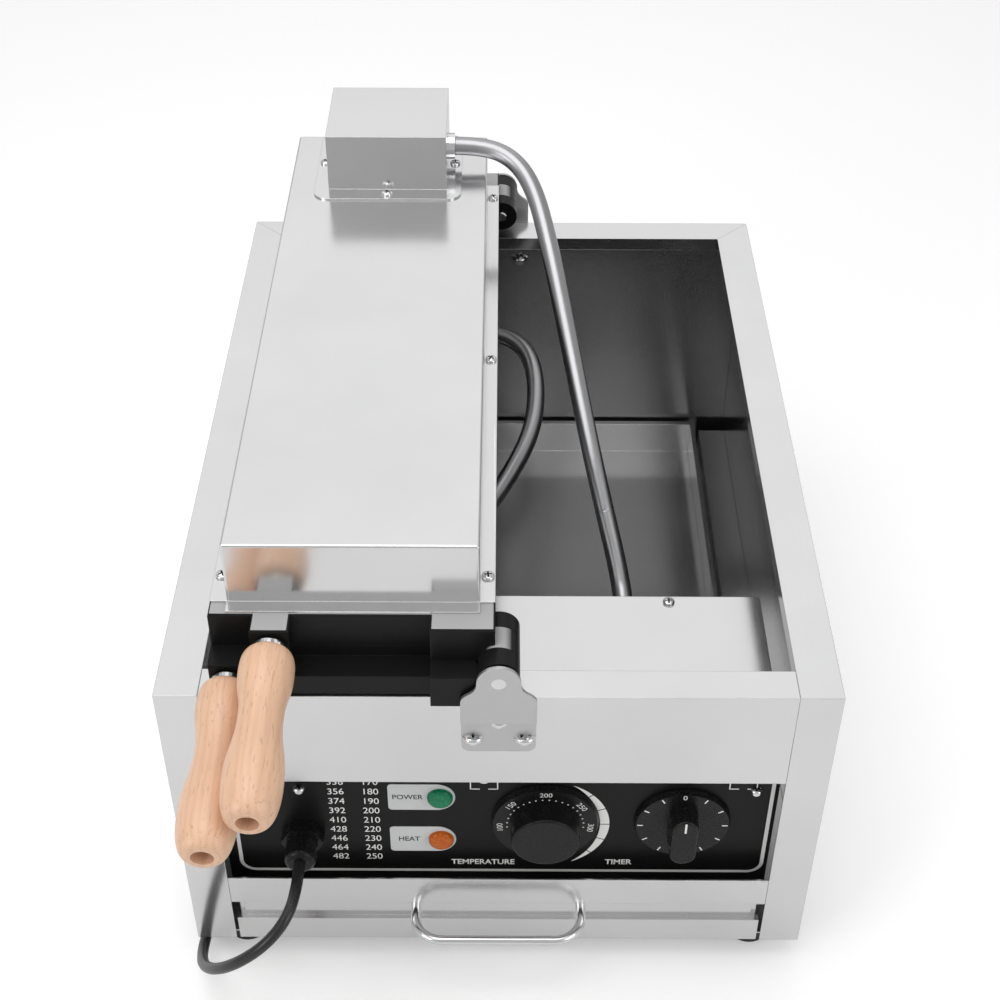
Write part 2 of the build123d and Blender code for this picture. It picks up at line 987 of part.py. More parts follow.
box_x = -(cover_left + cover_right) / 2
box_back = back - box_back_in
box_front = box_back - box_length
box_y = (box_front + box_back) / 2
side_flange_middle = (cover_right + slab_right) / 2
cover_screws_y = -cover_front - cover_screw_end
cover_screws_at = [
    (x, y)
    for x in (-(cover_left + slab_left) / 2, -side_flange_middle)
    for y in (-cover_screws_y, 0, cover_screws_y)
]
plate_front = box_front - box_plate_front
plate_back = box_back + box_plate_back
box_screws_at = (
    (box_x, (plate_front + box_front) / 2),
    (box_x - box_half_width - box_plate_side / 2, box_y),
    (box_x + box_half_width + box_plate_side / 2, box_y),
)
conduit_height = cover_top + sheet + conduit_rise


def terminal_box(side):
    """Box open to the cover, on a flange plate with rounded corners."""
    box_top = cover_top + sheet + box_height
    with BuildPart() as box:
        with BuildSketch(level(side, cover_top)):
            with Locations((box_x, side * (plate_front + plate_back) / 2)):
                RectangleRounded(
                    2 * (box_half_width + box_plate_side),
                    plate_back - plate_front,
                    box_corner,
                )
            for x, y in box_screws_at:
                with Locations((x, side * y)):
                    Circle(screw_shank, mode=Mode.SUBTRACT)
        extrude(amount=sheet)
        tier(
            side,
            box_x - box_half_width,
            box_x + box_half_width,
            box_front,
            box_back,
            cover_top,
            box_top,
        )
        tier(
            side,
            box_x - box_half_width + sheet,
            box_x + box_half_width - sheet,
            box_front + sheet,
            box_back - sheet,
            cover_top,
            box_top - sheet,
            mode=Mode.SUBTRACT,
        )
        with BuildSketch(Plane.YZ.offset(box_x + box_half_width)):
            with Locations((box_y, pivot_z + side * conduit_height)):
                Circle(conduit_radius)
        extrude(amount=-sheet, mode=Mode.SUBTRACT)
    return box


def mould_screws(side):
    """Domed screws of the cover flanges and of the terminal box."""
    with BuildPart() as screws:
        for places, height, grip in (
            (cover_screws_at, cover_bottom + sheet, sheet),
            (box_screws_at, cover_top + sheet, 2 * sheet),
        ):
            for x, y in places:
                seat = (x, y, pivot_z + side * height)
                add(domed_screw(Plane(seat, x_dir=(1, 0, 0), z_dir=(0, 0, side)), grip))
    return screws


def heater(side):
    """Bent tubular element on the back of the casting."""
    run = -front - heater_end_in
    middle = casting_thickness + heater_radius + heater_seat
    with BuildPart() as element:
        with BuildLine(Plane.XY.offset(pivot_z + side * middle)) as route:
            FilletPolyline(
                (box_x - heater_leg, box_y),
                (box_x - heater_leg, run),
                (box_x - heater_half_width, run),
                (box_x - heater_half_width, -run),
                (box_x + heater_half_width, -run),
                (box_x + heater_half_width, run),
                (box_x + heater_leg, run),
                (box_x + heater_leg, box_y),
                radius=heater_bend,
            )
        with BuildSketch(Plane(route.line @ 0, z_dir=route.line % 0)):
            Circle(heater_radius)
        sweep(path=route.line)
    return element


def heat_pad(side):
    """Ceramic fibre pad between the element and the cover."""
    bottom = casting_thickness + 2 * heater_radius + pad_lift
    with BuildPart() as pad:
        tier(
            side,
            -cover_left + sheet + pad_gap,
            -cover_right - sheet - pad_gap,
            cover_front + sheet + pad_gap,
            cover_back - sheet - pad_gap,
            bottom,
            bottom + pad_height,
        )
        with BuildSketch(level(side, bottom)):
            with Locations((box_x, side * box_y)):
                Circle(lead_hole)
        extrude(amount=pad_height, mode=Mode.SUBTRACT)
    return pad


def ceramic_terminal(side):
    """Two-way ceramic block inside the terminal box."""
    with BuildPart() as block:
        terminal_y = box_back - sheet - terminal_back_in
        tier(
            side,
            box_x - terminal_half_length,
            box_x + terminal_half_length,
            terminal_y - terminal_half_width,
            terminal_y + terminal_half_width,
            cover_top,
            cover_top + terminal_height,
        )
        with BuildSketch(level(side, cover_top + terminal_height)):
            with Locations((box_x, side * terminal_y)):
                with GridLocations(*terminal_spacing, 2, 2):
                    Circle(terminal_hole)
        extrude(amount=-terminal_hole_depth, mode=Mode.SUBTRACT)
    return block


def conduit_fitting(plane):
    """Round fitting that seats on the plane and holds a conduit's end."""
    with BuildPart() as fitting:
        with BuildSketch(plane):
            Circle(fitting_radius)
        extrude(amount=fitting_length)
        with BuildSketch(plane):
            Circle(conduit_radius)
        extrude(amount=-sheet)
    return fitting


def handle_bolt(side):
    """Bolt from the boss through the grip, with a nut against the boss."""
    end = grip_start + grip_length - end_bore_depth
    with BuildPart() as bolt:
        with BuildSketch(handle_face(side)):
            Circle(bolt_radius)
        extrude(amount=end)
        with BuildSketch(handle_face(side)):
            Circle(bolt_radius)
        extrude(amount=-bolt_in_boss)
        with BuildSketch(handle_face(side).offset(nut_gap)):
            RegularPolygon(nut_radius, 6)
        extrude(amount=grip_start - nut_gap)
    return bolt


def swell(x0, radius0, x1, radius1):
    """Control points of a smooth change of radius, level at both ends."""
    middle = (x0 + x1) / 2
    return (x0, radius0), (middle, radius0), (middle, radius1), (x1, radius1)


def handle_grip(side):
    """Turned wooden grip: shoulder, neck, belly and a bored round tip."""
    s0 = grip_start
    s1 = grip_start + grip_length
    with BuildPart() as grip:
        with BuildSketch(handle_section(side)):
            with BuildLine():
                Line((s0, bolt_radius), (s0, grip_mouth))
                Bezier(
                    (s0, grip_mouth),
                    (s0, grip_shoulder - 1),
                    (s0 + 0.4 * grip_shoulder_at, grip_shoulder),
                    (s0 + grip_shoulder_at, grip_shoulder),
                )
                Bezier(*swell(s0 + grip_shoulder_at, grip_shoulder, s0 + grip_neck_at, grip_neck))
                Bezier(*swell(s0 + grip_neck_at, grip_neck, s0 + grip_belly_at, grip_belly))
                Bezier(
                    (s0 + grip_belly_at, grip_belly),
                    (s1 - grip_round, grip_belly),
                    (s1, (grip_tip + grip_belly) / 2),
                    (s1, grip_tip),
                )
                Polyline(
                    (s1, grip_tip),
                    (s1, end_bore_radius),
                    (s1 - end_bore_depth, end_bore_radius),
                    (s1 - end_bore_depth, bolt_radius),
                    (s0, bolt_radius),
                )
            make_face()
        section = handle_section(side)
        revolve(axis=Axis(section.origin, section.x_dir))
    return grip


for side, name in ((1, "upper"), (-1, "lower")):
    keep(casting(side), f"{name}_casting")
    keep(cover(side), f"{name}_cover")
    keep(terminal_box(side), f"{name}_terminal_box")
    keep(mould_screws(side), f"{name}_mould_screws")
    keep(heater(side), f"{name}_heater")
    keep(heat_pad(side), f"{name}_heat_pad")
    keep(ceramic_terminal(side), f"{name}_ceramic_terminal")
    keep(handle_bolt(side), f"{name}_handle_bolt")
    keep(handle_grip(side), f"{name}_handle_grip")
    outlet = Plane(
        (box_x + box_half_width, box_y, pivot_z + side * conduit_height),
        x_dir=(0, 1, 0),
        z_dir=(1, 0, 0),
    )
    keep(conduit_fitting(outlet), f"{name}_box_fitting")
    outlet_x, outlet_z = {
        1: (upper_outlet_x, upper_outlet_z),
        -1: (lower_outlet_x, lower_outlet_z),
    }[side]
    outlet = Plane((outlet_x, wall_y, outlet_z), x_dir=(1, 0, 0), z_dir=(0, 1, 0))
    keep(conduit_fitting(outlet), f"{name}_wall_fitting")


def corner_radii(points):
    """Bend radius at each corner, from the shorter run beside it."""
    radii = []
    for before, corner, after in zip(points, points[1:], points[2:]):
        first = Vector(corner) - Vector(before)
        second = Vector(after) - Vector(corner)
        half_turn = radians(first.get_angle(second)) / 2
        radii.append(0.45 * min(first.length, second.length) / tan(half_turn))
    return radii


def tube(points, radius):
    """Round tube along straight runs joined by tangent bends."""
    radii = corner_radii(points)
    with BuildPart() as line:
        with BuildLine() as route:
            FilletPolyline(*points, radius=radii)
        with BuildSketch(Plane(route.line @ 0, z_dir=route.line % 0)):
            Circle(radius)
        sweep(path=route.line)
    print("bends", [round(r) for r in radii])
    return line


box_outlet_x = box_x + box_half_width + fitting_length
wall_outlet_y = wall_y + fitting_length
upper_route = [
    (box_outlet_x, box_y, pivot_z + conduit_height),
    (-12, box_y, pivot_z + conduit_height),
    (9, 173, 338.5),
    (23, 154, 326),
    (33, 120, 303),
    (45, 66, 267),
    (58, 0, 229),
    (70, -40, 192),
    (77, -61, 171.5),
    (upper_outlet_x, -84, upper_outlet_z),
    (upper_outlet_x, wall_outlet_y, upper_outlet_z),
]
lower_route = [
    (box_outlet_x, box_y, pivot_z - conduit_height),
    (-12, box_y, pivot_z - conduit_height),
    (9, 173, 185.5),
    (22, 153, 184.5),
    (27, 115, 182),
    (23, 66, 178),
    (4, 20, 170),
    (-24, -24, 158),
    (-43, -62, 148),
    (lower_outlet_x, -88, lower_outlet_z),
    (lower_outlet_x, wall_outlet_y, lower_outlet_z),
]
keep(tube(upper_route, conduit_radius), "upper_conduit")
keep(tube(lower_route, conduit_radius), "lower_conduit")

# Mains cord: down past the left leg, back along the floor and to the coil
coil_front = back + coil_behind
turn_fall = 2 * cord_radius + turn_gap
lying = cord_radius + 0.1
coil_top = lying + coil_turns * turn_fall
cord_route = [
    (gland_x, panel_front - gland_nose, gland_z),
    (gland_x, -285, gland_z),
    (-125, -302, 102),
    (-139, -311, 91),
    (-160, -309, 71),
    (-178, -290, 43),
    (-187, -260, 16),
    (-186, -222, lying),
    (-187, -150, lying),
    (-185, -60, lying),
    (-187, 40, lying),
    (-185, 120, lying),
    (-186, 200, lying),
    (-178, 262, 6),
    (-150, 308, 16),
    (-110, coil_front, coil_top),
    (coil_x, coil_front, coil_top),
]
keep(tube(cord_route, cord_radius), "mains_cord")

# Spare cord in a neat stack of turns behind the cabinet
coil_centre = Vector(coil_x, coil_front + coil_radius, coil_top)


def coil_point(turn):
    """Place and heading on the coil after a number of turns."""
    angle = radians(360 * turn - 90)
    fall = turn_fall * turn
    place = coil_centre + Vector(coil_radius * cos(angle), coil_radius * sin(angle), -fall)
    heading = Vector(-sin(angle), cos(angle), -turn_fall / (2 * pi * coil_radius))
    return place, heading.normalized()


def joined_arcs(start, start_heading, end, end_heading):
    """Two tangent arcs between two places with given headings."""
    chord = end - start
    both = start_heading + end_heading
    spread = 2 * (1 - start_heading.dot(end_heading))
    along = chord.dot(both)
    reach = (sqrt(along**2 + spread * chord.dot(chord)) - along) / spread
    first = start + start_heading * reach
    second = end - end_heading * reach
    middle = (first + second) / 2
    TangentArc(start, middle, tangent=start_heading)
    TangentArc(middle, end, tangent=second - first)


plug_place = Vector(coil_x + plug_from_coil, coil_front - plug_aside, plug_height / 2)
with BuildPart() as coil:
    with BuildLine() as coil_route:
        places = [(Vector(*cord_route[-1]), Vector(1, 0, 0))]
        places += [coil_point(step / 4) for step in range(1, 4 * coil_turns + 1)]
        places.append((plug_place, Vector(1, 0, 0)))
        for (p0, h0), (p1, h1) in zip(places, places[1:]):
            joined_arcs(p0, h0, p1, h1)
    with BuildSketch(Plane(coil_route.line @ 0, z_dir=coil_route.line % 0)):
        Circle(cord_radius)
    sweep(path=coil_route.line)
keep(coil, "mains_cord_coil")
coil_line = Wire(coil_route.edges())
print("coil length", round(coil_line.length))

# Least gap between the coil's turns, on points far enough apart along the cord
point_step = 5
count = int(coil_line.length / point_step)
points = [coil_line @ (index / count) for index in range(count + 1)]
apart = int(pi * coil_radius / point_step)
least = min(
    (points[first] - points[second]).length
    for first in range(count + 1)
    for second in range(first + apart, count + 1)
)
print("coil's least gap to itself", round(least - 2 * cord_radius, 2))

# Moulded plug at the end of the coil
plug_plane = Plane(plug_place, x_dir=(0, 1, 0), z_dir=(1, 0, 0))
with BuildPart() as plug:
    with BuildSketch(plug_plane):
        Circle(plug_neck_radius)
    with BuildSketch(plug_plane.offset(plug_neck)):
        RectangleRounded(0.45 * plug_width, 0.6 * plug_height, plug_neck_radius)
    loft()
    with BuildSketch(plug_plane.offset(plug_neck)):
        RectangleRounded(plug_width, plug_height, plug_corner)
    extrude(amount=plug_body, taper=plug_draft)
keep(plug, "mains_plug")

with BuildPart() as pins:
    with BuildSketch(plug_plane.offset(plug_neck + plug_body)):
        with GridLocations(pin_spacing, 1, 2, 1):
            Circle(pin_radius)
    extrude(amount=pin_length)
keep(pins, "plug_pins")
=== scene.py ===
# %% [markdown]
# # Coin waffle maker
# A countertop cooker with two hinged moulds that turn over together. The packed
# model is the frame: it holds every rigid piece at its real size and place.
# This script gives the pieces their finish and adds what is too small or too
# soft for the model. Blender works in metres, and MM turns millimetres into
# them, because a maker thinks in millimetres.

# %% Load the frame
import bpy
import bmesh
import json
from math import cos, pi, radians, sin, sqrt
from mathutils import Matrix, Vector


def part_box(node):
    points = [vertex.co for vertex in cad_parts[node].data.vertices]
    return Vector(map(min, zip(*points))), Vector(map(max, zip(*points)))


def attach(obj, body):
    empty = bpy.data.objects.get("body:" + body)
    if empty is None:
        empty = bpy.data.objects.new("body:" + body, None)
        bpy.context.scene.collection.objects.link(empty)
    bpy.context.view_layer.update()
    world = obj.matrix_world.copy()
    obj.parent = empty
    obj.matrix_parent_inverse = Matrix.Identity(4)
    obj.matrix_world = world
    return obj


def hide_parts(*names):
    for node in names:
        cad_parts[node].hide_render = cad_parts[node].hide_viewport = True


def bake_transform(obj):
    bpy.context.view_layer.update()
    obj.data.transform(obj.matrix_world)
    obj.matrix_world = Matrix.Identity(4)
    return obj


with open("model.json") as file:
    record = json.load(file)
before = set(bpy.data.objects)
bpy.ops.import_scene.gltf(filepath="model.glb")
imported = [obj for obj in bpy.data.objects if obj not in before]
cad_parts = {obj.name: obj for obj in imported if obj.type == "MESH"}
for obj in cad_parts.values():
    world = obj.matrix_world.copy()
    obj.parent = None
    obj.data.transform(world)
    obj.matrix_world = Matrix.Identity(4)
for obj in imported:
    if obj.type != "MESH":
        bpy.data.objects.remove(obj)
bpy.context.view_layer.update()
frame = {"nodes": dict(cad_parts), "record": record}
nodes = frame["nodes"]
MM = 0.001
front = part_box("front_fascia")[0].y
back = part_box("rear_panel")[1].y
middle_y = (front + back) / 2


def place(x, y, z):
    """Point given in millimetres from the floor under the cabinet's middle."""
    return Vector((x * MM, y * MM + middle_y, z * MM))


# %% [markdown]
# ## Shared surface effects
# No real surface is perfectly even. One node group gives every material a fine
# grain and a broad unevenness. Stretching the grain turns it into the lines
# that a brushing belt leaves. A second group tells which faces look in one
# direction, and a third rounds the light on sharp edges. Each group is built
# once, because several materials share it.

# %% Surface group
def surface_group():
    """Node group with a fine grain and broad patches, both from 0 to 1."""
    group = bpy.data.node_groups.new("surface", "ShaderNodeTree")
    face = group.interface
    face.new_socket("Stretch", in_out="INPUT", socket_type="NodeSocketVector")
    face.new_socket("Fine", in_out="OUTPUT", socket_type="NodeSocketFloat")
    face.new_socket("Broad", in_out="OUTPUT", socket_type="NodeSocketFloat")
    tree = group.nodes
    given = tree.new("NodeGroupInput")
    result = tree.new("NodeGroupOutput")
    where = tree.new("ShaderNodeTexCoord")
    stretch = tree.new("ShaderNodeVectorMath")
    stretch.operation = "MULTIPLY"
    fine = tree.new("ShaderNodeTexNoise")
    fine.inputs["Scale"].default_value = 1
    fine.inputs["Detail"].default_value = 3
    broad = tree.new("ShaderNodeTexNoise")
    broad.inputs["Scale"].default_value = 14
    broad.inputs["Detail"].default_value = 4
    join = group.links.new
    join(where.outputs["Object"], stretch.inputs[0])
    join(given.outputs["Stretch"], stretch.inputs[1])
    join(stretch.outputs["Vector"], fine.inputs["Vector"])
    join(where.outputs["Object"], broad.inputs["Vector"])
    join(fine.outputs["Fac"], result.inputs["Fine"])
    join(broad.outputs["Fac"], result.inputs["Broad"])
    return group


surface = surface_group()
print("group", surface.name)


# %% Facing group
# Its mask says where a grey is painted on as shade or as a sheen.
def facing_group():
    """Node group with a mask that is 1 on faces that look in a direction."""
    group = bpy.data.node_groups.new("facing", "ShaderNodeTree")
    face = group.interface
    face.new_socket("Direction", in_out="INPUT", socket_type="NodeSocketVector")
    face.new_socket("Mask", in_out="OUTPUT", socket_type="NodeSocketFloat")
    tree = group.nodes
    given = tree.new("NodeGroupInput")
    result = tree.new("NodeGroupOutput")
    where = tree.new("ShaderNodeTexCoord")
    along = tree.new("ShaderNodeVectorMath")
    along.operation = "DOT_PRODUCT"
    toward = tree.new("ShaderNodeMapRange")
    toward.inputs["From Min"].default_value = 0.8
    toward.inputs["From Max"].default_value = 0.97
    join = group.links.new
    join(where.outputs["Normal"], along.inputs[0])
    join(given.outputs["Direction"], along.inputs[1])
    join(along.outputs["Value"], toward.inputs["Value"])
    join(toward.outputs["Result"], result.inputs["Mask"])
    return group


facing = facing_group()
print("group", facing.name)


# %% Soft edge group
def soft_edge_group():
    """Node group with normals that round off every edge by a radius."""
    group = bpy.data.node_groups.new("soft_edge", "ShaderNodeTree")
    face = group.interface
    face.new_socket("Radius", in_out="INPUT", socket_type="NodeSocketFloat")
    face.new_socket("Normal", in_out="OUTPUT", socket_type="NodeSocketVector")
    tree = group.nodes
    given = tree.new("NodeGroupInput")
    result = tree.new("NodeGroupOutput")
    edge = tree.new("ShaderNodeBevel")
    edge.samples = 4
    join = group.links.new
    join(given.outputs["Radius"], edge.inputs["Radius"])
    join(edge.outputs["Normal"], result.inputs["Normal"])
    return group


soft_edge = soft_edge_group()
print("group", soft_edge.name)


# %% [markdown]
# ## Materials
# Each material starts from the same small builder: a Principled shader, the
# surface group, a roughness range and a bump. One builder keeps the materials
# alike in how they break up the light, and short to write.

# %% Material builder
def new_material(name, color, metallic=0.0, rough=(0.4, 0.5), stretch=(900, 900, 900), bump=0.1):
    """Material whose roughness and bump follow the surface group."""
    made = bpy.data.materials.new(name)
    made.use_nodes = True
    tree = made.node_tree
    join = tree.links.new
    shader = tree.nodes["Principled BSDF"]
    shader.inputs["Base Color"].default_value = (*color, 1)
    shader.inputs["Metallic"].default_value = metallic
    grain = tree.nodes.new("ShaderNodeGroup")
    grain.node_tree = surface
    grain.name = "grain"
    grain.inputs["Stretch"].default_value = stretch
    mixed = tree.nodes.new("ShaderNodeMath")
    mixed.operation = "ADD"
    join(grain.outputs["Fine"], mixed.inputs[0])
    join(grain.outputs["Broad"], mixed.inputs[1])
    span = tree.nodes.new("ShaderNodeMapRange")
    span.inputs["From Min"].default_value = 0.7
    span.inputs["From Max"].default_value = 1.3
    span.inputs["To Min"].default_value = rough[0]
    span.inputs["To Max"].default_value = rough[1]
    join(mixed.outputs[0], span.inputs["Value"])
    join(span.outputs["Result"], shader.inputs["Roughness"])
    relief = tree.nodes.new("ShaderNodeBump")
    relief.name = "relief"
    relief.inputs["Strength"].default_value = bump
    relief.inputs["Distance"].default_value = 0.2 * MM
    join(grain.outputs["Fine"], relief.inputs["Height"])
    join(relief.outputs["Normal"], shader.inputs["Normal"])
    return made


def duller(made, level):
    """Material with less mirror light than clear plastic gives."""
    shader = made.node_tree.nodes["Principled BSDF"]
    shader.inputs["Specular IOR Level"].default_value = level
    return made


def tint(made, dark, light):
    """Colour of the material drifts between two tones with the broad patches."""
    tree = made.node_tree
    ramp = tree.nodes.new("ShaderNodeValToRGB")
    ramp.color_ramp.elements[0].position = 0.3
    ramp.color_ramp.elements[0].color = (*dark, 1)
    ramp.color_ramp.elements[1].position = 0.7
    ramp.color_ramp.elements[1].color = (*light, 1)
    tree.links.new(tree.nodes["grain"].outputs["Broad"], ramp.inputs["Fac"])
    tree.links.new(ramp.outputs["Color"], tree.nodes["Principled BSDF"].inputs["Base Color"])
    return made


# %% [markdown]
# ### Metals
# The cabinet, covers and tray are brushed stainless sheet that mirrors its
# surroundings softly. It could be a plain grey metal, but only a low roughness
# with fine lines gives the blurred dark patch under each terminal box. The
# edges of sheet are folded, so the soft edge group rounds the light on them and
# the mesh stays as it is. The faces that line the cabinet's open inside are
# painted darker, as painted shade. The castings have a black coating, and the
# upper one's level faces are painted paler, a painted sheen of the bright room.

# %% Sheet and rod
ALONG_X = (40, 2600, 2600)
ALONG_Y = (2600, 40, 2600)


def soft_edges(made, radius):
    """Sharp edges catch the light as if they were broken by this radius."""
    tree = made.node_tree
    edge = tree.nodes.new("ShaderNodeGroup")
    edge.node_tree = soft_edge
    edge.inputs["Radius"].default_value = radius
    tree.links.new(edge.outputs["Normal"], tree.nodes["relief"].inputs["Normal"])
    return made


def satin_steel(name, stretch):
    """Stainless sheet with a fine brushed grain and faint handling marks."""
    made = new_material(name, (0.7, 0.7, 0.7), 0.94, (0.14, 0.21), stretch, 0.02)
    tint(made, (0.68, 0.68, 0.685), (0.72, 0.72, 0.72))
    return soft_edges(made, 0.6 * MM)


steel_along = satin_steel("satin_steel_along_y", ALONG_Y)
steel_across = satin_steel("satin_steel_along_x", ALONG_X)
bracket_steel = new_material("bracket_steel", (0.52, 0.52, 0.525), 0.9, (0.34, 0.42), bump=0.02)
soft_edges(bracket_steel, 0.5 * MM)
bright_steel = new_material("bright_steel", (0.72, 0.72, 0.73), 1, (0.14, 0.24), bump=0.03)
conduit_steel = new_material("conduit_steel", (0.4, 0.4, 0.41), 1, (0.3, 0.38), bump=0.02)
brass = new_material("plug_brass", (0.78, 0.62, 0.34), 1, (0.16, 0.26), bump=0.02)
sheath = new_material("heater_sheath", (0.2, 0.18, 0.17), 1, (0.4, 0.55))
print("metals", steel_along.name, steel_across.name, bright_steel.name)


# %% Castings and inner faces
def coated_casting(name):
    """Casting with a black coating, slightly grainy, with softened edges."""
    made = new_material(name, (0.012, 0.012, 0.012), 0, (0.3, 0.42), bump=0.2)
    tint(made, (0.006, 0.006, 0.006), (0.01, 0.01, 0.01))
    return duller(soft_edges(made, 0.7 * MM), 0.16)


def faced(made, grey, direction):
    """Faces that look in one direction at rest get a painted grey: painted shade or a painted
    sheen.
    """
    tree = made.node_tree
    join = tree.links.new
    shader = tree.nodes["Principled BSDF"]
    mask = tree.nodes.new("ShaderNodeGroup")
    mask.node_tree = facing
    mask.inputs["Direction"].default_value = direction
    both = tree.nodes.new("ShaderNodeMix")
    both.data_type = "RGBA"
    join(mask.outputs["Mask"], both.inputs["Factor"])
    join(shader.inputs["Base Color"].links[0].from_socket, both.inputs["A"])
    both.inputs["B"].default_value = (grey, grey, grey, 1)
    join(both.outputs["Result"], shader.inputs["Base Color"])
    return made


# These greys and the darker steel are painted shade: the compartment's floor and rear wall
# wholly, and the inward faces of the right side and rear panels.
WELL_SHADE_GREY = 0.34
SIDE_SHADE_GREY = 0.7 * WELL_SHADE_GREY
# The grey below is a painted sheen on the upper casting's level faces, where they mirror the
# bright room.
PAINTED_SHEEN_GREY = 0.4
black_casting = coated_casting("black_casting")
sheen_painted_casting = faced(coated_casting("sheen_painted_casting"), PAINTED_SHEEN_GREY, (0, 0, 1))
well_shaded_steel = new_material("well_shaded_steel", (WELL_SHADE_GREY,) * 3, 0.94, (0.16, 0.24), bump=0.02)
tint(well_shaded_steel, (0.3, 0.3, 0.3), (0.38, 0.38, 0.38))
side_shaded_steel = faced(satin_steel("side_panel_shaded_steel", ALONG_Y), SIDE_SHADE_GREY, (-1, 0, 0))
rear_shaded_steel = faced(satin_steel("rear_panel_shaded_steel", ALONG_X), WELL_SHADE_GREY, (0, -1, 0))
print("castings and inner faces", black_casting.name, well_shaded_steel.name)

# %% [markdown]
# ### Plastics, rubber, ceramics and prints
# The panel, knobs, gland and cord are black, each with its own gloss. Black
# that mirrors a white room looks grey, so the panel and the plastic mirror less
# than plastic usually does.
# The lamps are coloured lenses with small prisms, which a cell pattern gives
# without any glass, and they are unlit, as a colour in the lens itself.

# %% Plastics, rubber and ceramics
black_panel = new_material("black_panel", (0.006, 0.006, 0.006), 0, (0.3, 0.4), bump=0.03)
duller(black_panel, 0.14)
black_plastic = new_material("black_plastic", (0.007, 0.007, 0.007), 0, (0.24, 0.34), bump=0.06)
duller(black_plastic, 0.22)
rubber = new_material("foot_rubber", (0.02, 0.02, 0.02), 0, (0.55, 0.7), bump=0.2)
cord_rubber = new_material("cord_rubber", (0.012, 0.012, 0.012), 0, (0.25, 0.36), bump=0.05)
ceramic = new_material("ceramic", (0.82, 0.8, 0.74), 0, (0.4, 0.55))
fibre = new_material("fibre_pad", (0.82, 0.81, 0.77), 0, (0.8, 0.95), (300, 300, 1500), 0.8)
white_print = new_material("white_print", (0.8, 0.8, 0.78), 0, (0.4, 0.5), bump=0.02)
grey_plate = new_material("grey_plate", (0.56, 0.57, 0.57), 0, (0.35, 0.45), bump=0.02)
black_print = new_material("black_print", (0.02, 0.02, 0.02), 0, (0.4, 0.5), bump=0.02)
# Near-black material for the walls of each cross recess: painted shade in the hollow.
recess = new_material("screw_recess_painted_shade", (0.03, 0.03, 0.03), 1, (0.5, 0.6), bump=0.02)
print("plastics", black_panel.name, black_plastic.name, rubber.name)


# %% Lamp lenses
def lens(name, dark, light):
    """Coloured lens, unlit, with small prisms moulded behind its clear face."""
    made = new_material(name, light, 0, (0.1, 0.18), bump=0.02)
    tree = made.node_tree
    shader = tree.nodes["Principled BSDF"]
    shader.inputs["Coat Weight"].default_value = 0.25
    shader.inputs["Specular IOR Level"].default_value = 0.2
    shader.inputs["Coat Roughness"].default_value = 0.05
    where = tree.nodes.new("ShaderNodeTexCoord")
    prisms = tree.nodes.new("ShaderNodeTexVoronoi")
    prisms.inputs["Scale"].default_value = 520
    shade = tree.nodes.new("ShaderNodeValToRGB")
    shade.color_ramp.elements[0].color = (*light, 1)
    shade.color_ramp.elements[1].color = (*dark, 1)
    shade.color_ramp.elements[1].position = 0.7
    tree.links.new(where.outputs["Object"], prisms.inputs["Vector"])
    tree.links.new(prisms.outputs["Distance"], shade.inputs["Fac"])
    tree.links.new(shade.outputs["Color"], shader.inputs["Base Color"])
    return made


green_lens = lens("green_lens", (0.0, 0.15, 0.065), (0.0, 0.24, 0.1))
orange_lens = lens("orange_lens", (0.42, 0.08, 0.0), (0.56, 0.12, 0.003))
print("lenses", green_lens.name, orange_lens.name)


# %% [markdown]
# ## Beech
# The grips are turned from beech. Its growth lines run along the grip and bend
# a little, and short dark flecks lie the same way. A wave texture stretched
# along the grip makes the lines. A finer noise, stretched too and kept only
# where it is high, makes the flecks. A picture of a board would repeat, and
# this doesn't. A thin clear coat lies on top.

# %% Beech
def beech_wood():
    """Pale turned beech with growth lines, flecks and a clear coat."""
    made = new_material("beech", (0.7, 0.45, 0.28), 0, (0.34, 0.46), (1500, 60, 1500), 0.08)
    tree = made.node_tree
    join = tree.links.new
    shader = tree.nodes["Principled BSDF"]
    shader.inputs["Coat Weight"].default_value = 0.25
    shader.inputs["Coat Roughness"].default_value = 0.3
    where = tree.nodes.new("ShaderNodeTexCoord")
    turned = tree.nodes.new("ShaderNodeMapping")
    turned.inputs["Scale"].default_value = (1, 0.06, 1)
    join(where.outputs["Object"], turned.inputs["Vector"])
    lines = tree.nodes.new("ShaderNodeTexWave")
    lines.wave_type = "BANDS"
    lines.bands_direction = "X"
    lines.inputs["Scale"].default_value = 70
    lines.inputs["Distortion"].default_value = 9
    lines.inputs["Detail"].default_value = 3
    lines.inputs["Detail Scale"].default_value = 1.2
    join(turned.outputs["Vector"], lines.inputs["Vector"])
    wood = tree.nodes.new("ShaderNodeValToRGB")
    wood.color_ramp.elements[0].color = (0.68, 0.42, 0.275, 1)
    wood.color_ramp.elements[1].color = (0.73, 0.455, 0.3, 1)
    wood.color_ramp.elements[0].position = 0.05
    wood.color_ramp.elements[1].position = 0.6
    join(lines.outputs["Fac"], wood.inputs["Fac"])
    flecked = tree.nodes.new("ShaderNodeMapping")
    flecked.inputs["Scale"].default_value = (900, 90, 900)
    join(where.outputs["Object"], flecked.inputs["Vector"])
    rays = tree.nodes.new("ShaderNodeTexNoise")
    rays.inputs["Scale"].default_value = 1
    rays.inputs["Detail"].default_value = 1
    join(flecked.outputs["Vector"], rays.inputs["Vector"])
    cut = tree.nodes.new("ShaderNodeMapRange")
    cut.inputs["From Min"].default_value = 0.62
    cut.inputs["From Max"].default_value = 0.72
    cut.inputs["To Max"].default_value = 0.4
    join(rays.outputs["Fac"], cut.inputs["Value"])
    both = tree.nodes.new("ShaderNodeMix")
    both.data_type = "RGBA"
    both.inputs["B"].default_value = (0.36, 0.19, 0.1, 1)
    join(cut.outputs["Result"], both.inputs["Factor"])
    join(wood.outputs["Color"], both.inputs["A"])
    join(both.outputs["Result"], shader.inputs["Base Color"])
    return made


beech = beech_wood()
print("wood", beech.name)
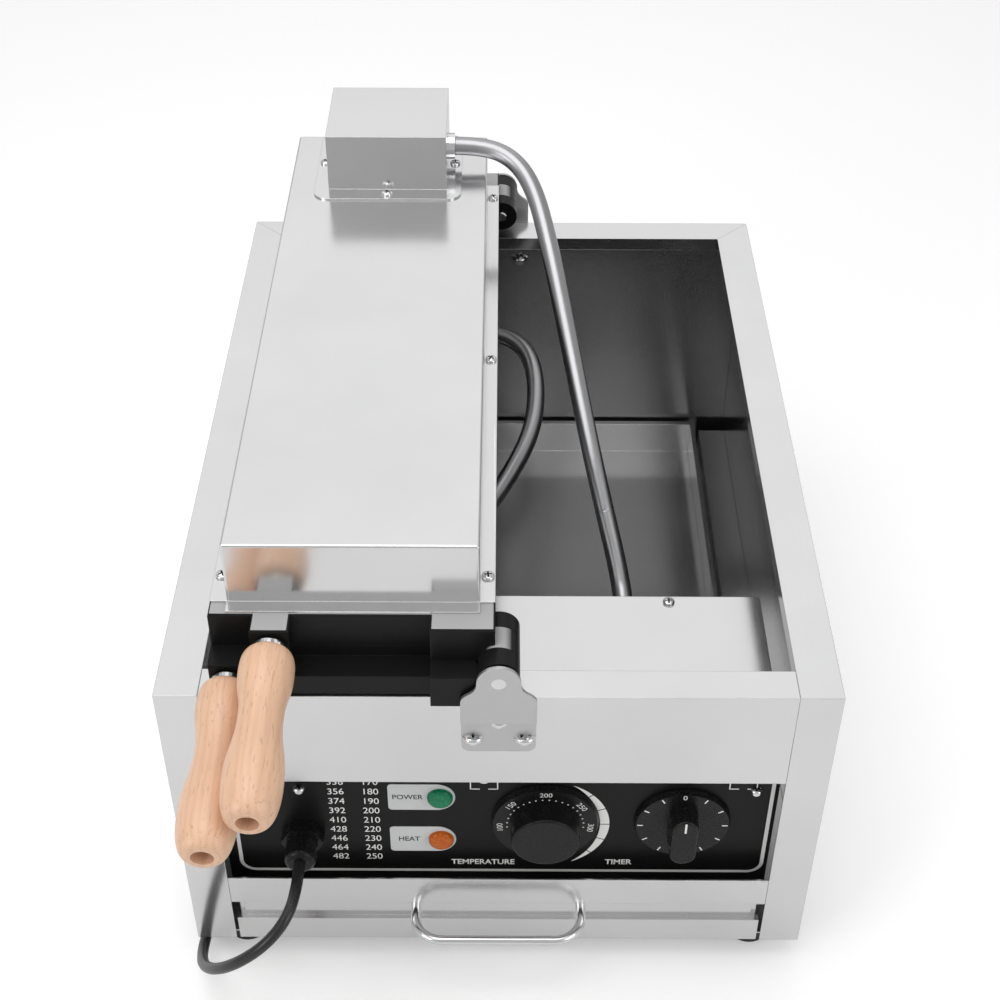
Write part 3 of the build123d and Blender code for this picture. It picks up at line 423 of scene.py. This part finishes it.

# %% [markdown]
# ## Dress the CAD pieces
# The record says which finish each piece has, so most pieces need no line of
# their own here. Sheet that faces the front is brushed from side to side, and
# all other sheet from front to back. A few pieces have a finish of their own, and
# some carry painted shade or a painted sheen.

# %% Materials onto the nodes
finishes = {
    "stainless": steel_along,
    "bright_steel": bright_steel,
    "conduit_steel": conduit_steel,
    "black_casting": black_casting,
    "black_panel": black_panel,
    "black_plastic": black_plastic,
    "green_lens": green_lens,
    "orange_lens": orange_lens,
    "rubber": rubber,
    "cord_rubber": cord_rubber,
    "brass": brass,
    "beech": beech,
    "ceramic": ceramic,
    "fibre_pad": fibre,
    "heater_sheath": sheath,
}
brushed_across = {
    "front_fascia",
    "lower_front_rail",
    "tray_front",
}
# The bracket has a finish of its own; the other entries carry painted shade on inner faces and a
# painted sheen on the upper casting.
finish_or_painted_light = {
    "upper_casting": sheen_painted_casting,
    "front_pivot_bracket": bracket_steel,
    "rear_pivot_bracket": bracket_steel,
    "compartment_floor": well_shaded_steel,
    "compartment_rear_wall": well_shaded_steel,
    "right_side_panel": side_shaded_steel,
    "rear_panel": rear_shaded_steel,
}
for part in frame["record"]["subparts"]:
    node = nodes[part["node"]]
    finish = finishes[part["material_slot"]]
    if part["node"] in brushed_across:
        finish = steel_across
    finish = finish_or_painted_light.get(part["node"], finish)
    node.data.materials.clear()
    node.data.materials.append(finish)


# %% [markdown]
# ## Thin pieces
# Ink lies on a face and is far thinner than any sheet. An image could carry it,
# but thin meshes stay sharp from close by. Each is set just proud of the face
# that carries it, so that the two never flicker. Shapes are drawn flat, in
# millimetres, and then stood up.

# %% Flat shapes
PROUD = 0.06 * MM
STAND = Matrix.Rotation(radians(90), 4, "X")
CAPITAL = 0.7


def outline(points):
    """Mesh of one flat face through the points."""
    shape = bmesh.new()
    shape.faces.new([shape.verts.new((x * MM, y * MM, 0)) for x, y in points])
    return shape


def bar(x0, y0, x1, y1):
    """Mesh of one upright rectangle between two corners."""
    return outline([(x0, y0), (x0, y1), (x1, y1), (x1, y0)])


def band(outer, inner, close=True):
    """Mesh strip between two rows of points."""
    shape = bmesh.new()
    rows = [[shape.verts.new((x * MM, y * MM, 0)) for x, y in row] for row in (outer, inner)]
    steps = len(outer) if close else len(outer) - 1
    for i in range(steps):
        j = (i + 1) % len(outer)
        shape.faces.new((rows[0][i], rows[1][i], rows[1][j], rows[0][j]))
    return shape


def arc(x, y, radius, start, end, steps=16):
    """Points on an arc, in degrees clockwise from the top."""
    turns = [radians(start + (end - start) * i / steps) for i in range(steps + 1)]
    return [(x + radius * sin(t), y + radius * cos(t)) for t in turns]


def rounded(x0, y0, x1, y1, radius, right_radius=None):
    """Points of a rectangle with round corners, clockwise from the upper left."""
    end = right_radius or radius
    return (
        arc(x0 + radius, y1 - radius, radius, 270, 360, 8)
        + arc(x1 - end, y1 - end, end, 0, 90, 8)
        + arc(x1 - end, y0 + end, end, 90, 180, 8)
        + arc(x0 + radius, y0 + radius, radius, 180, 270, 8)
    )


def words(text, height, x, y, turn=0, width=1, stroke=0.0):
    """Mesh of lettering with its capitals this high, turned clockwise."""
    drawn = bpy.data.curves.new("words", "FONT")
    drawn.body = text
    drawn.size = height / CAPITAL * MM
    drawn.align_x = "CENTER"
    drawn.align_y = "CENTER"
    drawn.offset = stroke * height * MM
    holder = bpy.data.objects.new("words", drawn)
    flat = bpy.data.meshes.new_from_object(holder)
    shape = bmesh.new()
    shape.from_mesh(flat)
    bpy.data.objects.remove(holder)
    bpy.data.meshes.remove(flat)
    bpy.data.curves.remove(drawn)
    narrowed = Matrix.Diagonal((width, 1, 1, 1))
    shape.transform(Matrix.Rotation(radians(-turn), 4, "Z") @ narrowed)
    shape.transform(Matrix.Translation((x * MM, y * MM, 0)))
    return shape


def gather(name, shapes, moved, made, thickness=0):
    """One object from flat shapes, moved into place and given a material."""
    whole = bpy.data.meshes.new(name)
    joined = bmesh.new()
    for shape in shapes:
        part = bpy.data.meshes.new("part")
        shape.to_mesh(part)
        shape.free()
        joined.from_mesh(part)
        bpy.data.meshes.remove(part)
    if thickness:
        grown = bmesh.ops.extrude_face_region(joined, geom=list(joined.faces))
        raised = [g for g in grown["geom"] if isinstance(g, bmesh.types.BMVert)]
        bmesh.ops.translate(joined, verts=raised, vec=(0, 0, thickness))
        bmesh.ops.recalc_face_normals(joined, faces=list(joined.faces))
    joined.transform(moved)
    joined.to_mesh(whole)
    joined.free()
    whole.materials.append(made)
    piece = bpy.data.objects.new(name, whole)
    bpy.context.scene.collection.objects.link(piece)
    return piece


def on_face(y, proud=PROUD):
    """Stands flat shapes up on a face that looks to the front at this depth."""
    return Matrix.Translation((0, y - proud, 0)) @ STAND


# %% [markdown]
# ## Control panel
# The black panel is printed in white: a line round its rim, a plain table that
# turns degrees Fahrenheit into Celsius, two words, a crescent beside the dial
# and small marks. All are drawn from their sizes, and the table is worked out
# instead of typed, so a change of a size or a step changes the whole print.

# %% Panel rim and table
panel_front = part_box("control_panel")[0].y
dial_x, control_z, timer_x = 28, 121.5, 110
rim = 2.3
rim_radius = 10
rim_left, rim_foot, rim_right, rim_top = -159, 71.2, 163, 196
rim_outer = rounded(rim_left, rim_foot, rim_right, rim_top, rim_radius)
rim_inner = rounded(
    rim_left + rim, rim_foot + rim, rim_right - rim, rim_top - rim, rim_radius - rim
)
table_foot, row_height, hottest, row_degrees, row_count = 85.4, 8.7, 482, 18, 9
fahrenheit_x, celsius_x, digit = -96.3, -75.9, 5.3
table = []
for row in range(row_count):
    height = table_foot + row * row_height
    degrees = hottest - row_degrees * row
    table.append(words(str(degrees), digit, fahrenheit_x, height, width=0.9))
    celsius = round((degrees - 32) / 1.8)
    table.append(words(str(celsius), digit, celsius_x, height, width=0.9))
print("table numbers", len(table))


# %% Heat crescent
def crescent(turn):
    """Outer and inner point of the heat crescent in this direction."""
    radius, inner_radius, shift = 39.7, 46.13, 12
    x, y = dial_x - 1, control_z - 4.5
    across = sin(radians(turn))
    inner = sqrt(inner_radius**2 - shift**2 + (shift * across) ** 2) - shift * across
    return [(x + r * across, y + r * cos(radians(turn))) for r in (radius, inner)]


first_turn, segments, divider, points = 25.5, 6, 1.0, 7
turn_step = (180 - 2 * first_turn) / segments
scale_marks = []
for segment in range(segments):
    start = first_turn + segment * turn_step
    reach = turn_step - divider
    rows = [crescent(start + reach * i / (points - 1)) for i in range(points)]
    scale_marks.append(band([row[0] for row in rows], [row[1] for row in rows], False))
print("crescent pieces", len(scale_marks))


# %% Words and marks
def framed(x, y):
    """Round mark between two corner brackets."""
    ring_y, ring_radius, line = y + 4.5, 3.4, 1.2
    outer = arc(x, ring_y, ring_radius, 0, 360, 24)
    inner = arc(x, ring_y, ring_radius - line, 0, 360, 24)
    marks = [band(outer, inner, False)]
    half_frame, foot, head, lip, thin = 8, y - 4, y + 5, 5.5, 0.7
    for hand in (-1, 1):
        edge = x + hand * half_frame
        marks.append(bar(edge - thin / 2, foot, edge + thin / 2, head))
        low, high = sorted((edge, edge - hand * lip))
        marks.append(bar(low, foot, high, foot + thin))
    return marks


labels = [
    words("TEMPERATURE", 4.7, -9.4, 80.4, width=0.88, stroke=0.03),
    words("TIMER", 4.7, 73.7, 80.8, width=0.88, stroke=0.03),
]
labels += framed(-8.5, 153) + framed(144, 154)
panel_print = gather(
    "panel_print",
    [band(rim_outer, rim_inner), *table, *scale_marks, *labels],
    on_face(panel_front),
    white_print,
)
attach(panel_print, "cabinet")
print("panel print", len(panel_print.data.polygons))

# %% [markdown]
# ### Lamp plates
# A pale plate, square on the left and round on the right, lies behind each
# lamp and says what the lamp is for. It is a flat outline given a thickness.

# %% Lamp plates
plate_left, plate_right, plate_half, plate_thick = -65.5, -25.6, 11.5, 0.4 * MM
for name, z, text in (("power_plate", 142, "POWER"), ("heat_plate", 103, "HEAT")):
    foot, head = z - plate_half, z + plate_half
    plate = gather(
        name,
        [outline(rounded(plate_left, foot, plate_right, head, 2.5, 11.4))],
        on_face(panel_front, 0),
        grey_plate,
        plate_thick,
    )
    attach(plate, "cabinet")
    lettering = gather(
        f"{name}_print",
        [words(text, 4, -54, z, width=0.92, stroke=0.02)],
        on_face(panel_front, plate_thick + PROUD),
        black_print,
    )
    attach(lettering, "cabinet")
    print(name, "at height", z)

# %% [markdown]
# ## Dials
# Plain numbers from 100 to 300 stand round the temperature dial, and the timer
# has strokes and a zero. They are printed on the skirts and turn with them, so
# each print rides on its own control and not on the cabinet.

# %% Temperature dial print
knob_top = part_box("temperature_knob")[0].y
SKIRT_DEPTH = 14 * MM
skirt_y = knob_top + SKIRT_DEPTH
number_radius, dot_radius, dot, sweep = 27, 22.9, 0.55, 95
numbers = []
for text, turn in (("100", -sweep), ("150", -50), ("200", 0), ("250", 52), ("300", sweep)):
    x = dial_x + number_radius * sin(radians(turn))
    y = control_z + number_radius * cos(radians(turn))
    numbers.append(words(text, 3.6, x, y, turn))
for turn in range(-sweep, sweep + 1, 10):
    x = dial_x + dot_radius * sin(radians(turn))
    y = control_z + dot_radius * cos(radians(turn))
    numbers.append(outline(arc(x, y, dot, 0, 315, 7)))
dial_print = gather("dial_print", numbers, on_face(skirt_y), white_print)
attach(dial_print, "temperature_control")
print("dial marks", len(numbers))

# %% Timer dial print
timer_centre = Matrix.Translation((timer_x * MM, control_z * MM, 0))
strokes = []
for step in range(1, 12):
    stroke = bar(-0.45, 23.6, 0.45, 27)
    stroke.transform(timer_centre @ Matrix.Rotation(radians(-30 * step), 4, "Z"))
    strokes.append(stroke)
strokes.append(words("0", 3.8, timer_x, control_z + 25.2))
timer_print = gather("timer_print", strokes, on_face(skirt_y), white_print)
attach(timer_print, "timer_control")
pointer = bar(-0.6, 10, 0.6, 18.5)
pointer.transform(timer_centre)
timer_pointer = gather("timer_pointer", [pointer], on_face(knob_top), white_print)
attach(timer_pointer, "timer_control")
print("timer marks", len(strokes), "and a pointer")


# %% [markdown]
# ## Screw heads
# Pan heads with a cross recess hold the sheet and the brackets. A painted cross
# would look flat in the light, so the recess is really cut, and its cut walls
# are painted near-black as painted shade. One head is turned from its profile,
# a Boolean cuts the cross, and a copy goes on every screw.
# The loose parts of a screw node are its screws, so they say where it goes.
# They are found in the order of the mesh, so that each head gets the same turn
# on every run.

# %% Where the screws are
def islands(node):
    """Boxes of the loose parts of a node's mesh."""
    whole = bmesh.new()
    whole.from_mesh(node.data)
    bmesh.ops.remove_doubles(whole, verts=list(whole.verts), dist=1e-6)
    left = set(whole.verts)
    found = []
    for first in whole.verts:
        if first not in left:
            continue
        left.discard(first)
        group = [first]
        for vert in group:
            for edge in vert.link_edges:
                other = edge.other_vert(vert)
                if other in left:
                    left.discard(other)
                    group.append(other)
        low = Vector([min(v.co[i] for v in group) for i in range(3)])
        high = Vector([max(v.co[i] for v in group) for i in range(3)])
        found.append((low, high))
    whole.free()
    return found


print("bracket screws", len(islands(nodes["bracket_screws"])))


# %% One pan head
def lathe(profile, steps):
    """Solid of revolution about Z through the (radius, height) points."""
    shape = bmesh.new()
    rim = [shape.verts.new((r, 0, z)) for r, z in profile]
    for a, b in zip(rim, rim[1:]):
        shape.edges.new((a, b))
    bmesh.ops.spin(
        shape,
        geom=list(shape.verts) + list(shape.edges),
        cent=(0, 0, 0),
        axis=(0, 0, 1),
        angle=2 * pi,
        steps=steps,
        use_merge=True,
    )
    bmesh.ops.remove_doubles(shape, verts=list(shape.verts), dist=0.001 * MM)
    bmesh.ops.recalc_face_normals(shape, faces=list(shape.faces))
    return shape


def pan_head(radius, rise, depth):
    """Mesh of a pan head with a cross recess, its seat at the origin."""
    edge = 0.35
    profile = [(0, 0), (radius, 0), (radius, edge * rise)]
    for turn in (0.4, 0.75, 1.05, 1.3):
        profile.append((radius * cos(turn), rise * (edge + (1 - edge) * sin(turn))))
    top = profile[-1][1]
    shape = lathe([*profile, (0, top)], 28)
    for face in shape.faces:
        face.smooth = 0.1 < face.normal.z < 0.99
    arm, reach = 0.13 * radius / MM, 0.6 * radius / MM
    corners = [(arm, reach), (arm, arm), (reach, arm)]
    corners += [(x, -y) for x, y in reversed(corners)]
    corners += [(-x, -y) for x, y in corners]
    tool = outline(corners)
    raised = bmesh.ops.extrude_face_region(tool, geom=list(tool.faces))["geom"]
    lifted = [part for part in raised if isinstance(part, bmesh.types.BMVert)]
    bmesh.ops.translate(tool, verts=lifted, vec=(0, 0, 2 * depth))
    bmesh.ops.translate(tool, verts=list(tool.verts), vec=(0, 0, top - depth))
    bmesh.ops.recalc_face_normals(tool, faces=list(tool.faces))
    made = []
    for name, drawn in (("head", shape), ("recess", tool)):
        held = bpy.data.meshes.new(name)
        drawn.to_mesh(held)
        drawn.free()
        # The recess walls take the near-black material, painted shade.
        held.materials.append(bright_steel if name == "head" else recess)
        made.append(bpy.data.objects.new(name, held))
        bpy.context.scene.collection.objects.link(made[-1])
    cut = made[0].modifiers.new("recess", "BOOLEAN")
    cut.object = made[1]
    cut.solver = "EXACT"
    cut.material_mode = "TRANSFER"
    cut.operation = "DIFFERENCE"
    seen = made[0].evaluated_get(bpy.context.evaluated_depsgraph_get())
    finished = bpy.data.meshes.new_from_object(seen)
    for drawn in made:
        bpy.data.objects.remove(drawn)
    return finished


# %% Heads on the screws
HEAD_SUNK = 1.8 * MM
RECESS_DEPTH = 0.5 * MM
BRACKET_HEAD = (6.6, 3.4)
SHEET_HEAD = (3.7, 2.45)
TWIST = 37
mould_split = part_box("upper_casting")[0].z


def seat_of(node, low, high):
    """Outer end of a screw and the direction in which its head faces."""
    centre = (low + high) / 2
    size = high - low
    on_mould = "mould" in node
    if on_mould or size.z > size.y or size.z < min(size.x, size.y):
        below = on_mould and centre.z < mould_split
        end = low.z if below else high.z
        return Vector((centre.x, centre.y, end)), Vector((0, 0, -1 if below else 1))
    ahead = centre.y < middle_y
    end = low.y if ahead else high.y
    return Vector((centre.x, end, centre.z)), Vector((0, -1 if ahead else 1, 0))


def screw_heads(name, node, body, radius, rise):
    """Pan head over every screw of the node."""
    head = pan_head(radius * MM, rise * MM, RECESS_DEPTH)
    whole = bmesh.new()
    places = islands(nodes[node])
    for count, (low, high) in enumerate(places):
        seat, facing_to = seat_of(node, low, high)
        turned = facing_to.to_track_quat("Z", "Y").to_matrix().to_4x4()
        spin = Matrix.Rotation(radians(TWIST * count), 4, "Z")
        single = head.copy()
        single.transform(Matrix.Translation(seat - facing_to * HEAD_SUNK) @ turned @ spin)
        whole.from_mesh(single)
        bpy.data.meshes.remove(single)
    finished = bpy.data.meshes.new(name)
    whole.to_mesh(finished)
    whole.free()
    for finish in head.materials:
        finished.materials.append(finish)
    piece = bpy.data.objects.new(name, finished)
    bpy.context.scene.collection.objects.link(piece)
    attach(piece, body)
    print(name, len(places))


screw_heads("bracket_heads", "bracket_screws", "cabinet", *BRACKET_HEAD)
screw_heads("cabinet_heads", "cabinet_screws", "cabinet", *SHEET_HEAD)
screw_heads("upper_heads", "upper_mould_screws", "upper_mould", *SHEET_HEAD)
screw_heads("lower_heads", "lower_mould_screws", "lower_mould", *SHEET_HEAD)

# %% [markdown]
# ## Handle collars
# A bright collar sits on each handle's bolt, between the boss of the casting
# and the wood. It is a ring turned from its profile and tipped as the bolt is.

# %% Handle collars
HANDLE_TILT = radians(6)
COLLAR_PROFILE = [
    (4.2, 0.9), (8.6, 0.9), (9.2, 1.5), (9.2, 4.1), (8.6, 4.7), (4.2, 4.7), (4.2, 0.9)
]


def collar(side, boss_y, boss_z):
    """Bright steel collar on the bolt between the boss and the grip."""
    grip_low, grip_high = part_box(f"{side}_handle_grip")
    centre_x = (grip_low.x + grip_high.x) / 2
    start = Vector((centre_x, boss_y * MM + middle_y, boss_z * MM))
    ahead = Vector((0, -cos(HANDLE_TILT), -sin(HANDLE_TILT)))
    turned = ahead.to_track_quat("Z", "Y").to_matrix().to_4x4()
    shape = lathe([(r * MM, h * MM) for r, h in COLLAR_PROFILE], 32)
    moved = Matrix.Translation(start) @ turned
    piece = gather(f"{side}_collar", [shape], moved, bright_steel)
    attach(piece, f"{side}_mould")
    print(piece.name, "with", len(piece.data.polygons), "faces")


collar("upper", -246.5, 276.25)
collar("lower", -250, 253.75)


# %% [markdown]
# ## Flexible leads
# A lead hangs in one smooth line, so its route is a spline through a few
# points. The conduits are wound from steel strip, which shows as fine ribs, so
# they become tubes of mesh. The mains cord is plain
# and round and stays a curve with a bevel.

# %% Splines and tubes
def smooth_curve(name, points):
    """Curve with one open NURBS spline along the points."""
    made = bpy.data.curves.new(name, "CURVE")
    made.dimensions = "3D"
    made.resolution_u = 16
    spline = made.splines.new("NURBS")
    spline.points.add(len(points) - 1)
    for control, point in zip(spline.points, points):
        control.co = (*point, 1)
    spline.order_u = 3
    spline.use_endpoint_u = True
    return made


def centre_line(points):
    """Points along the route's spline."""
    made = smooth_curve("route", points)
    holder = bpy.data.objects.new("route", made)
    line = bpy.data.meshes.new_from_object(holder)
    found = [v.co.copy() for v in line.vertices]
    bpy.data.objects.remove(holder)
    bpy.data.meshes.remove(line)
    bpy.data.curves.remove(made)
    return found


def evenly(line, step):
    """The same line with points an even step apart."""
    spread = [line[0]]
    left = step
    for a, b in zip(line, line[1:]):
        run = (b - a).length
        done = 0
        while run - done > left:
            done += left
            spread.append(a.lerp(b, done / run))
            left = step
        left -= run - done
    if (line[-1] - spread[-1]).length > step / 3:
        spread.append(line[-1])
    else:
        spread[-1] = line[-1]
    return spread


def ribbed_tube(name, line, radius, rib, depth, around=20):
    """Tube along the line whose wall rises and falls once every rib steps."""
    shape = bmesh.new()
    rings = []
    side = (line[1] - line[0]).orthogonal().normalized()
    for i, point in enumerate(line):
        ahead = (line[min(i + 1, len(line) - 1)] - line[max(i - 1, 0)]).normalized()
        side = (side - ahead * side.dot(ahead)).normalized()
        up = ahead.cross(side)
        wall = radius - depth * (i % rib == 0)
        ring = []
        for k in range(around):
            turn = 2 * pi * k / around
            ring.append(shape.verts.new(point + (side * cos(turn) + up * sin(turn)) * wall))
        rings.append(ring)
    for a, b in zip(rings, rings[1:]):
        for k in range(around):
            n = (k + 1) % around
            shape.faces.new((a[k], a[n], b[n], b[k])).smooth = True
    caps = [shape.faces.new(rings[0]), shape.faces.new(reversed(rings[-1]))]
    bmesh.ops.recalc_face_normals(shape, faces=list(shape.faces))
    for cap in caps:
        for edge in cap.edges:
            edge.smooth = False
    whole = bpy.data.meshes.new(name)
    shape.to_mesh(whole)
    shape.free()
    whole.materials.append(conduit_steel)
    piece = bpy.data.objects.new(name, whole)
    bpy.context.scene.collection.objects.link(piece)
    return piece


def run_of(line):
    """Length of a line of points."""
    return sum((b - a).length for a, b in zip(line, line[1:]))


# %% [markdown]
# ### Conduits
# Both start at the compartment's rear wall and end at a terminal box. The
# lower one bends between the cabinet and the lower mould. The upper one has
# two joints to follow, so it is two tubes that meet where both would ride on
# the lower mould. They meet low down, so that the opened upper mould stays
# clear of them.

# %% Conduit routes
CONDUIT = 6.5
RIB_STEP = 1.1 * MM
RIB_DEPTH = 0.22 * MM
MEETING = 193 * MM
upper_route = [
    (-32.9, 181.5, 344),
    (-12, 181.5, 344),
    (9, 173, 338.5),
    (23, 154, 326),
    (33, 120, 303),
    (45, 66, 267),
    (58, 0, 229),
    (70, -40, 192),
    (77, -61, 171.5),
    (82, -84, 153),
    (82, -111, 153),
]
lower_route = [
    (-32.9, 181.5, 186),
    (-12, 181.5, 186),
    (9, 173, 185.5),
    (22, 153, 184.5),
    (27, 115, 182),
    (23, 66, 178),
    (4, 20, 170),
    (-24, -24, 158),
    (-43, -62, 148),
    (-50, -88, 140),
    (-50, -111, 140),
]
print("route points", len(upper_route), len(lower_route))


# %% Conduit tubes
def conduit(name, line):
    """Ribbed tube along the line, with its place baked into the mesh."""
    tube = ribbed_tube(name, line, CONDUIT * MM, 2, RIB_DEPTH)
    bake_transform(tube)
    print(name, round(run_of(line), 3))
    return tube


upper_line = evenly(centre_line([place(*p) for p in reversed(upper_route)]), RIB_STEP)
meet = next(i for i, point in enumerate(upper_line) if point.z > MEETING)
first_half, second_half = upper_line[: meet + 1], upper_line[meet:]
first = conduit("upper_conduit_from_cabinet", first_half)
conduit("upper_conduit_to_mould", second_half)
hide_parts("upper_conduit")
lower_line = evenly(centre_line([place(*p) for p in reversed(lower_route)]), RIB_STEP)
lower = conduit("lower_conduit_tube", lower_line)
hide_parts("lower_conduit")

# %% [markdown]
# ### Mains cord
# It leaves the gland, drops to the floor outside the tray's path, runs back
# along the left side and ends behind the cabinet in a coil and its plug. The
# coil comes from a formula, a circle that sinks as it turns, because a formula
# keeps its turns even and apart.

# %% Mains cord route
CORD = 3.5
LYING = 3.6
COIL = 40
COIL_X, COIL_Y = -80, 370
FALL = 7.8
TURNS = 3
STEPS = 16
cord_route = [
    (-118, -262, 108),
    (-118, -285, 108),
    (-125, -302, 102),
    (-139, -311, 91),
    (-160, -309, 71),
    (-178, -290, 43),
    (-187, -260, 16),
    (-186, -222, LYING),
    (-187, -150, LYING),
    (-185, -60, LYING),
    (-187, 40, LYING),
    (-185, 120, LYING),
    (-186, 200, LYING),
    (-178, 262, 6),
    (-150, 308, 16),
    (-110, 330, LYING + TURNS * FALL),
]
for step in range(TURNS * STEPS + 1):
    angle = 2 * pi * step / STEPS - pi / 2
    height = LYING + FALL * (TURNS - step / STEPS)
    cord_route.append((COIL_X + COIL * cos(angle), COIL_Y + COIL * sin(angle), height))
cord_route += [(-62, 330, LYING), (-46, 324, 5), (-32, 311, 10.5)]
cord_route += [(-20, 306, 12), (-8, 306, 12)]
cord_points = [place(*p) for p in cord_route]
cord_length = run_of(centre_line(cord_points))
print("mains cord", round(cord_length, 3))

# %% Mains cord
cord = bpy.data.objects.new("mains_cord_curve", smooth_curve("mains_cord", cord_points))
cord.data.bevel_depth = CORD * MM
cord.data.bevel_resolution = 4
cord.data.materials.append(cord_rubber)
bpy.context.scene.collection.objects.link(cord)
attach(cord, "cabinet")
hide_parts("mains_cord", "mains_cord_coil")
print("cord object", cord.name)

# %% [markdown]
# ## Floor, light and camera
# A product picture has a white floor, soft lamps and a bright room, because
# steel shows what stands round it. The floor and the sky are brighter only
# where the camera sees them, so that the light on the machine stays plain.

# %% Floor and sky
FLOOR_LIFT = 0.22
ROOM = 0.55
WHITE = 1.0
sheet = bmesh.new()
bmesh.ops.create_grid(sheet, x_segments=8, y_segments=8, size=4)
ground = bpy.data.meshes.new("floor")
sheet.to_mesh(ground)
sheet.free()
floor = bpy.data.objects.new("floor", ground)
bpy.context.scene.collection.objects.link(floor)
pale = bpy.data.materials.new("pale_floor")
pale.use_nodes = True
tree = pale.node_tree
shader = tree.nodes["Principled BSDF"]
shader.inputs["Base Color"].default_value = (0.86, 0.86, 0.86, 1)
shader.inputs["Roughness"].default_value = 0.7
shader.inputs["Emission Color"].default_value = (1, 1, 1, 1)
seen = tree.nodes.new("ShaderNodeLightPath")
lift = tree.nodes.new("ShaderNodeMath")
lift.operation = "MULTIPLY"
lift.inputs[1].default_value = FLOOR_LIFT
tree.links.new(seen.outputs["Is Camera Ray"], lift.inputs[0])
tree.links.new(lift.outputs[0], shader.inputs["Emission Strength"])
ground.materials.append(pale)

world = bpy.data.worlds.new("sky")
bpy.context.scene.world = world
world.use_nodes = True
sky = world.node_tree
background = sky.nodes["Background"]
background.inputs["Color"].default_value = (1, 1, 1, 1)
path = sky.nodes.new("ShaderNodeLightPath")
strength = sky.nodes.new("ShaderNodeMapRange")
strength.inputs["To Min"].default_value = ROOM
strength.inputs["To Max"].default_value = WHITE
sky.links.new(path.outputs["Is Camera Ray"], strength.inputs["Value"])
sky.links.new(strength.outputs["Result"], background.inputs["Strength"])
print("stage", floor.name, world.name)


# %% [markdown]
# ### Lamps
# Four large lamps light the machine. The one behind it is what the level steel
# mirrors to the camera, and the two in front light the upright faces.

# %% Lamps
def soft_lamp(name, at, target, size, power):
    """Soft area lamp that looks at a point."""
    lamp = bpy.data.lights.new(name, "AREA")
    lamp.shape = "RECTANGLE"
    lamp.size, lamp.size_y = size
    lamp.energy = power
    holder = bpy.data.objects.new(name, lamp)
    holder.location = at
    holder.rotation_euler = (Vector(target) - Vector(at)).to_track_quat("-Z", "Y").to_euler()
    bpy.context.scene.collection.objects.link(holder)


soft_lamp("overhead", (-0.3, -0.1, 1.7), (0, 0.05, 0.2), (1.4, 1.4), 12)
soft_lamp("behind", (0, 1.9, 1.9), (0, -0.1, 0.2), (2.6, 1.6), 6.5)
soft_lamp("front_left", (-1.3, -1.2, 1.0), (0, -0.1, 0.15), (0.9, 0.9), 7)
soft_lamp("front_right", (1.2, -1.0, 0.9), (0, 0, 0.15), (0.8, 1.0), 5)
print("lamps", len(bpy.data.lights))

# %% [markdown]
# ### Camera
# The camera stands where the photograph was taken from. Its angles and its
# focal length were fitted to the corners of the cabinet.

# %% Camera
EYE = (1.3, -874.68, 913.15)
PITCH = radians(40.33)
YAW = radians(0.089)
ROLL = radians(0.193)
FOCAL_PIXELS = 1663.72
IMAGE_PIXELS = 1000
turn = (
    Matrix.Rotation(YAW, 4, "Z")
    @ Matrix.Rotation(pi / 2 - PITCH, 4, "X")
    @ Matrix.Rotation(ROLL, 4, "Z")
)
eye = bpy.data.cameras.new("camera")
eye.sensor_width = 36
eye.lens = FOCAL_PIXELS * eye.sensor_width / IMAGE_PIXELS
camera = bpy.data.objects.new("camera", eye)
camera.matrix_world = Matrix.Translation(place(*EYE)) @ turn
bpy.context.scene.collection.objects.link(camera)
bpy.context.scene.camera = camera
bpy.context.scene.view_settings.view_transform = "Standard"
print("camera", camera.name, round(eye.lens, 2))
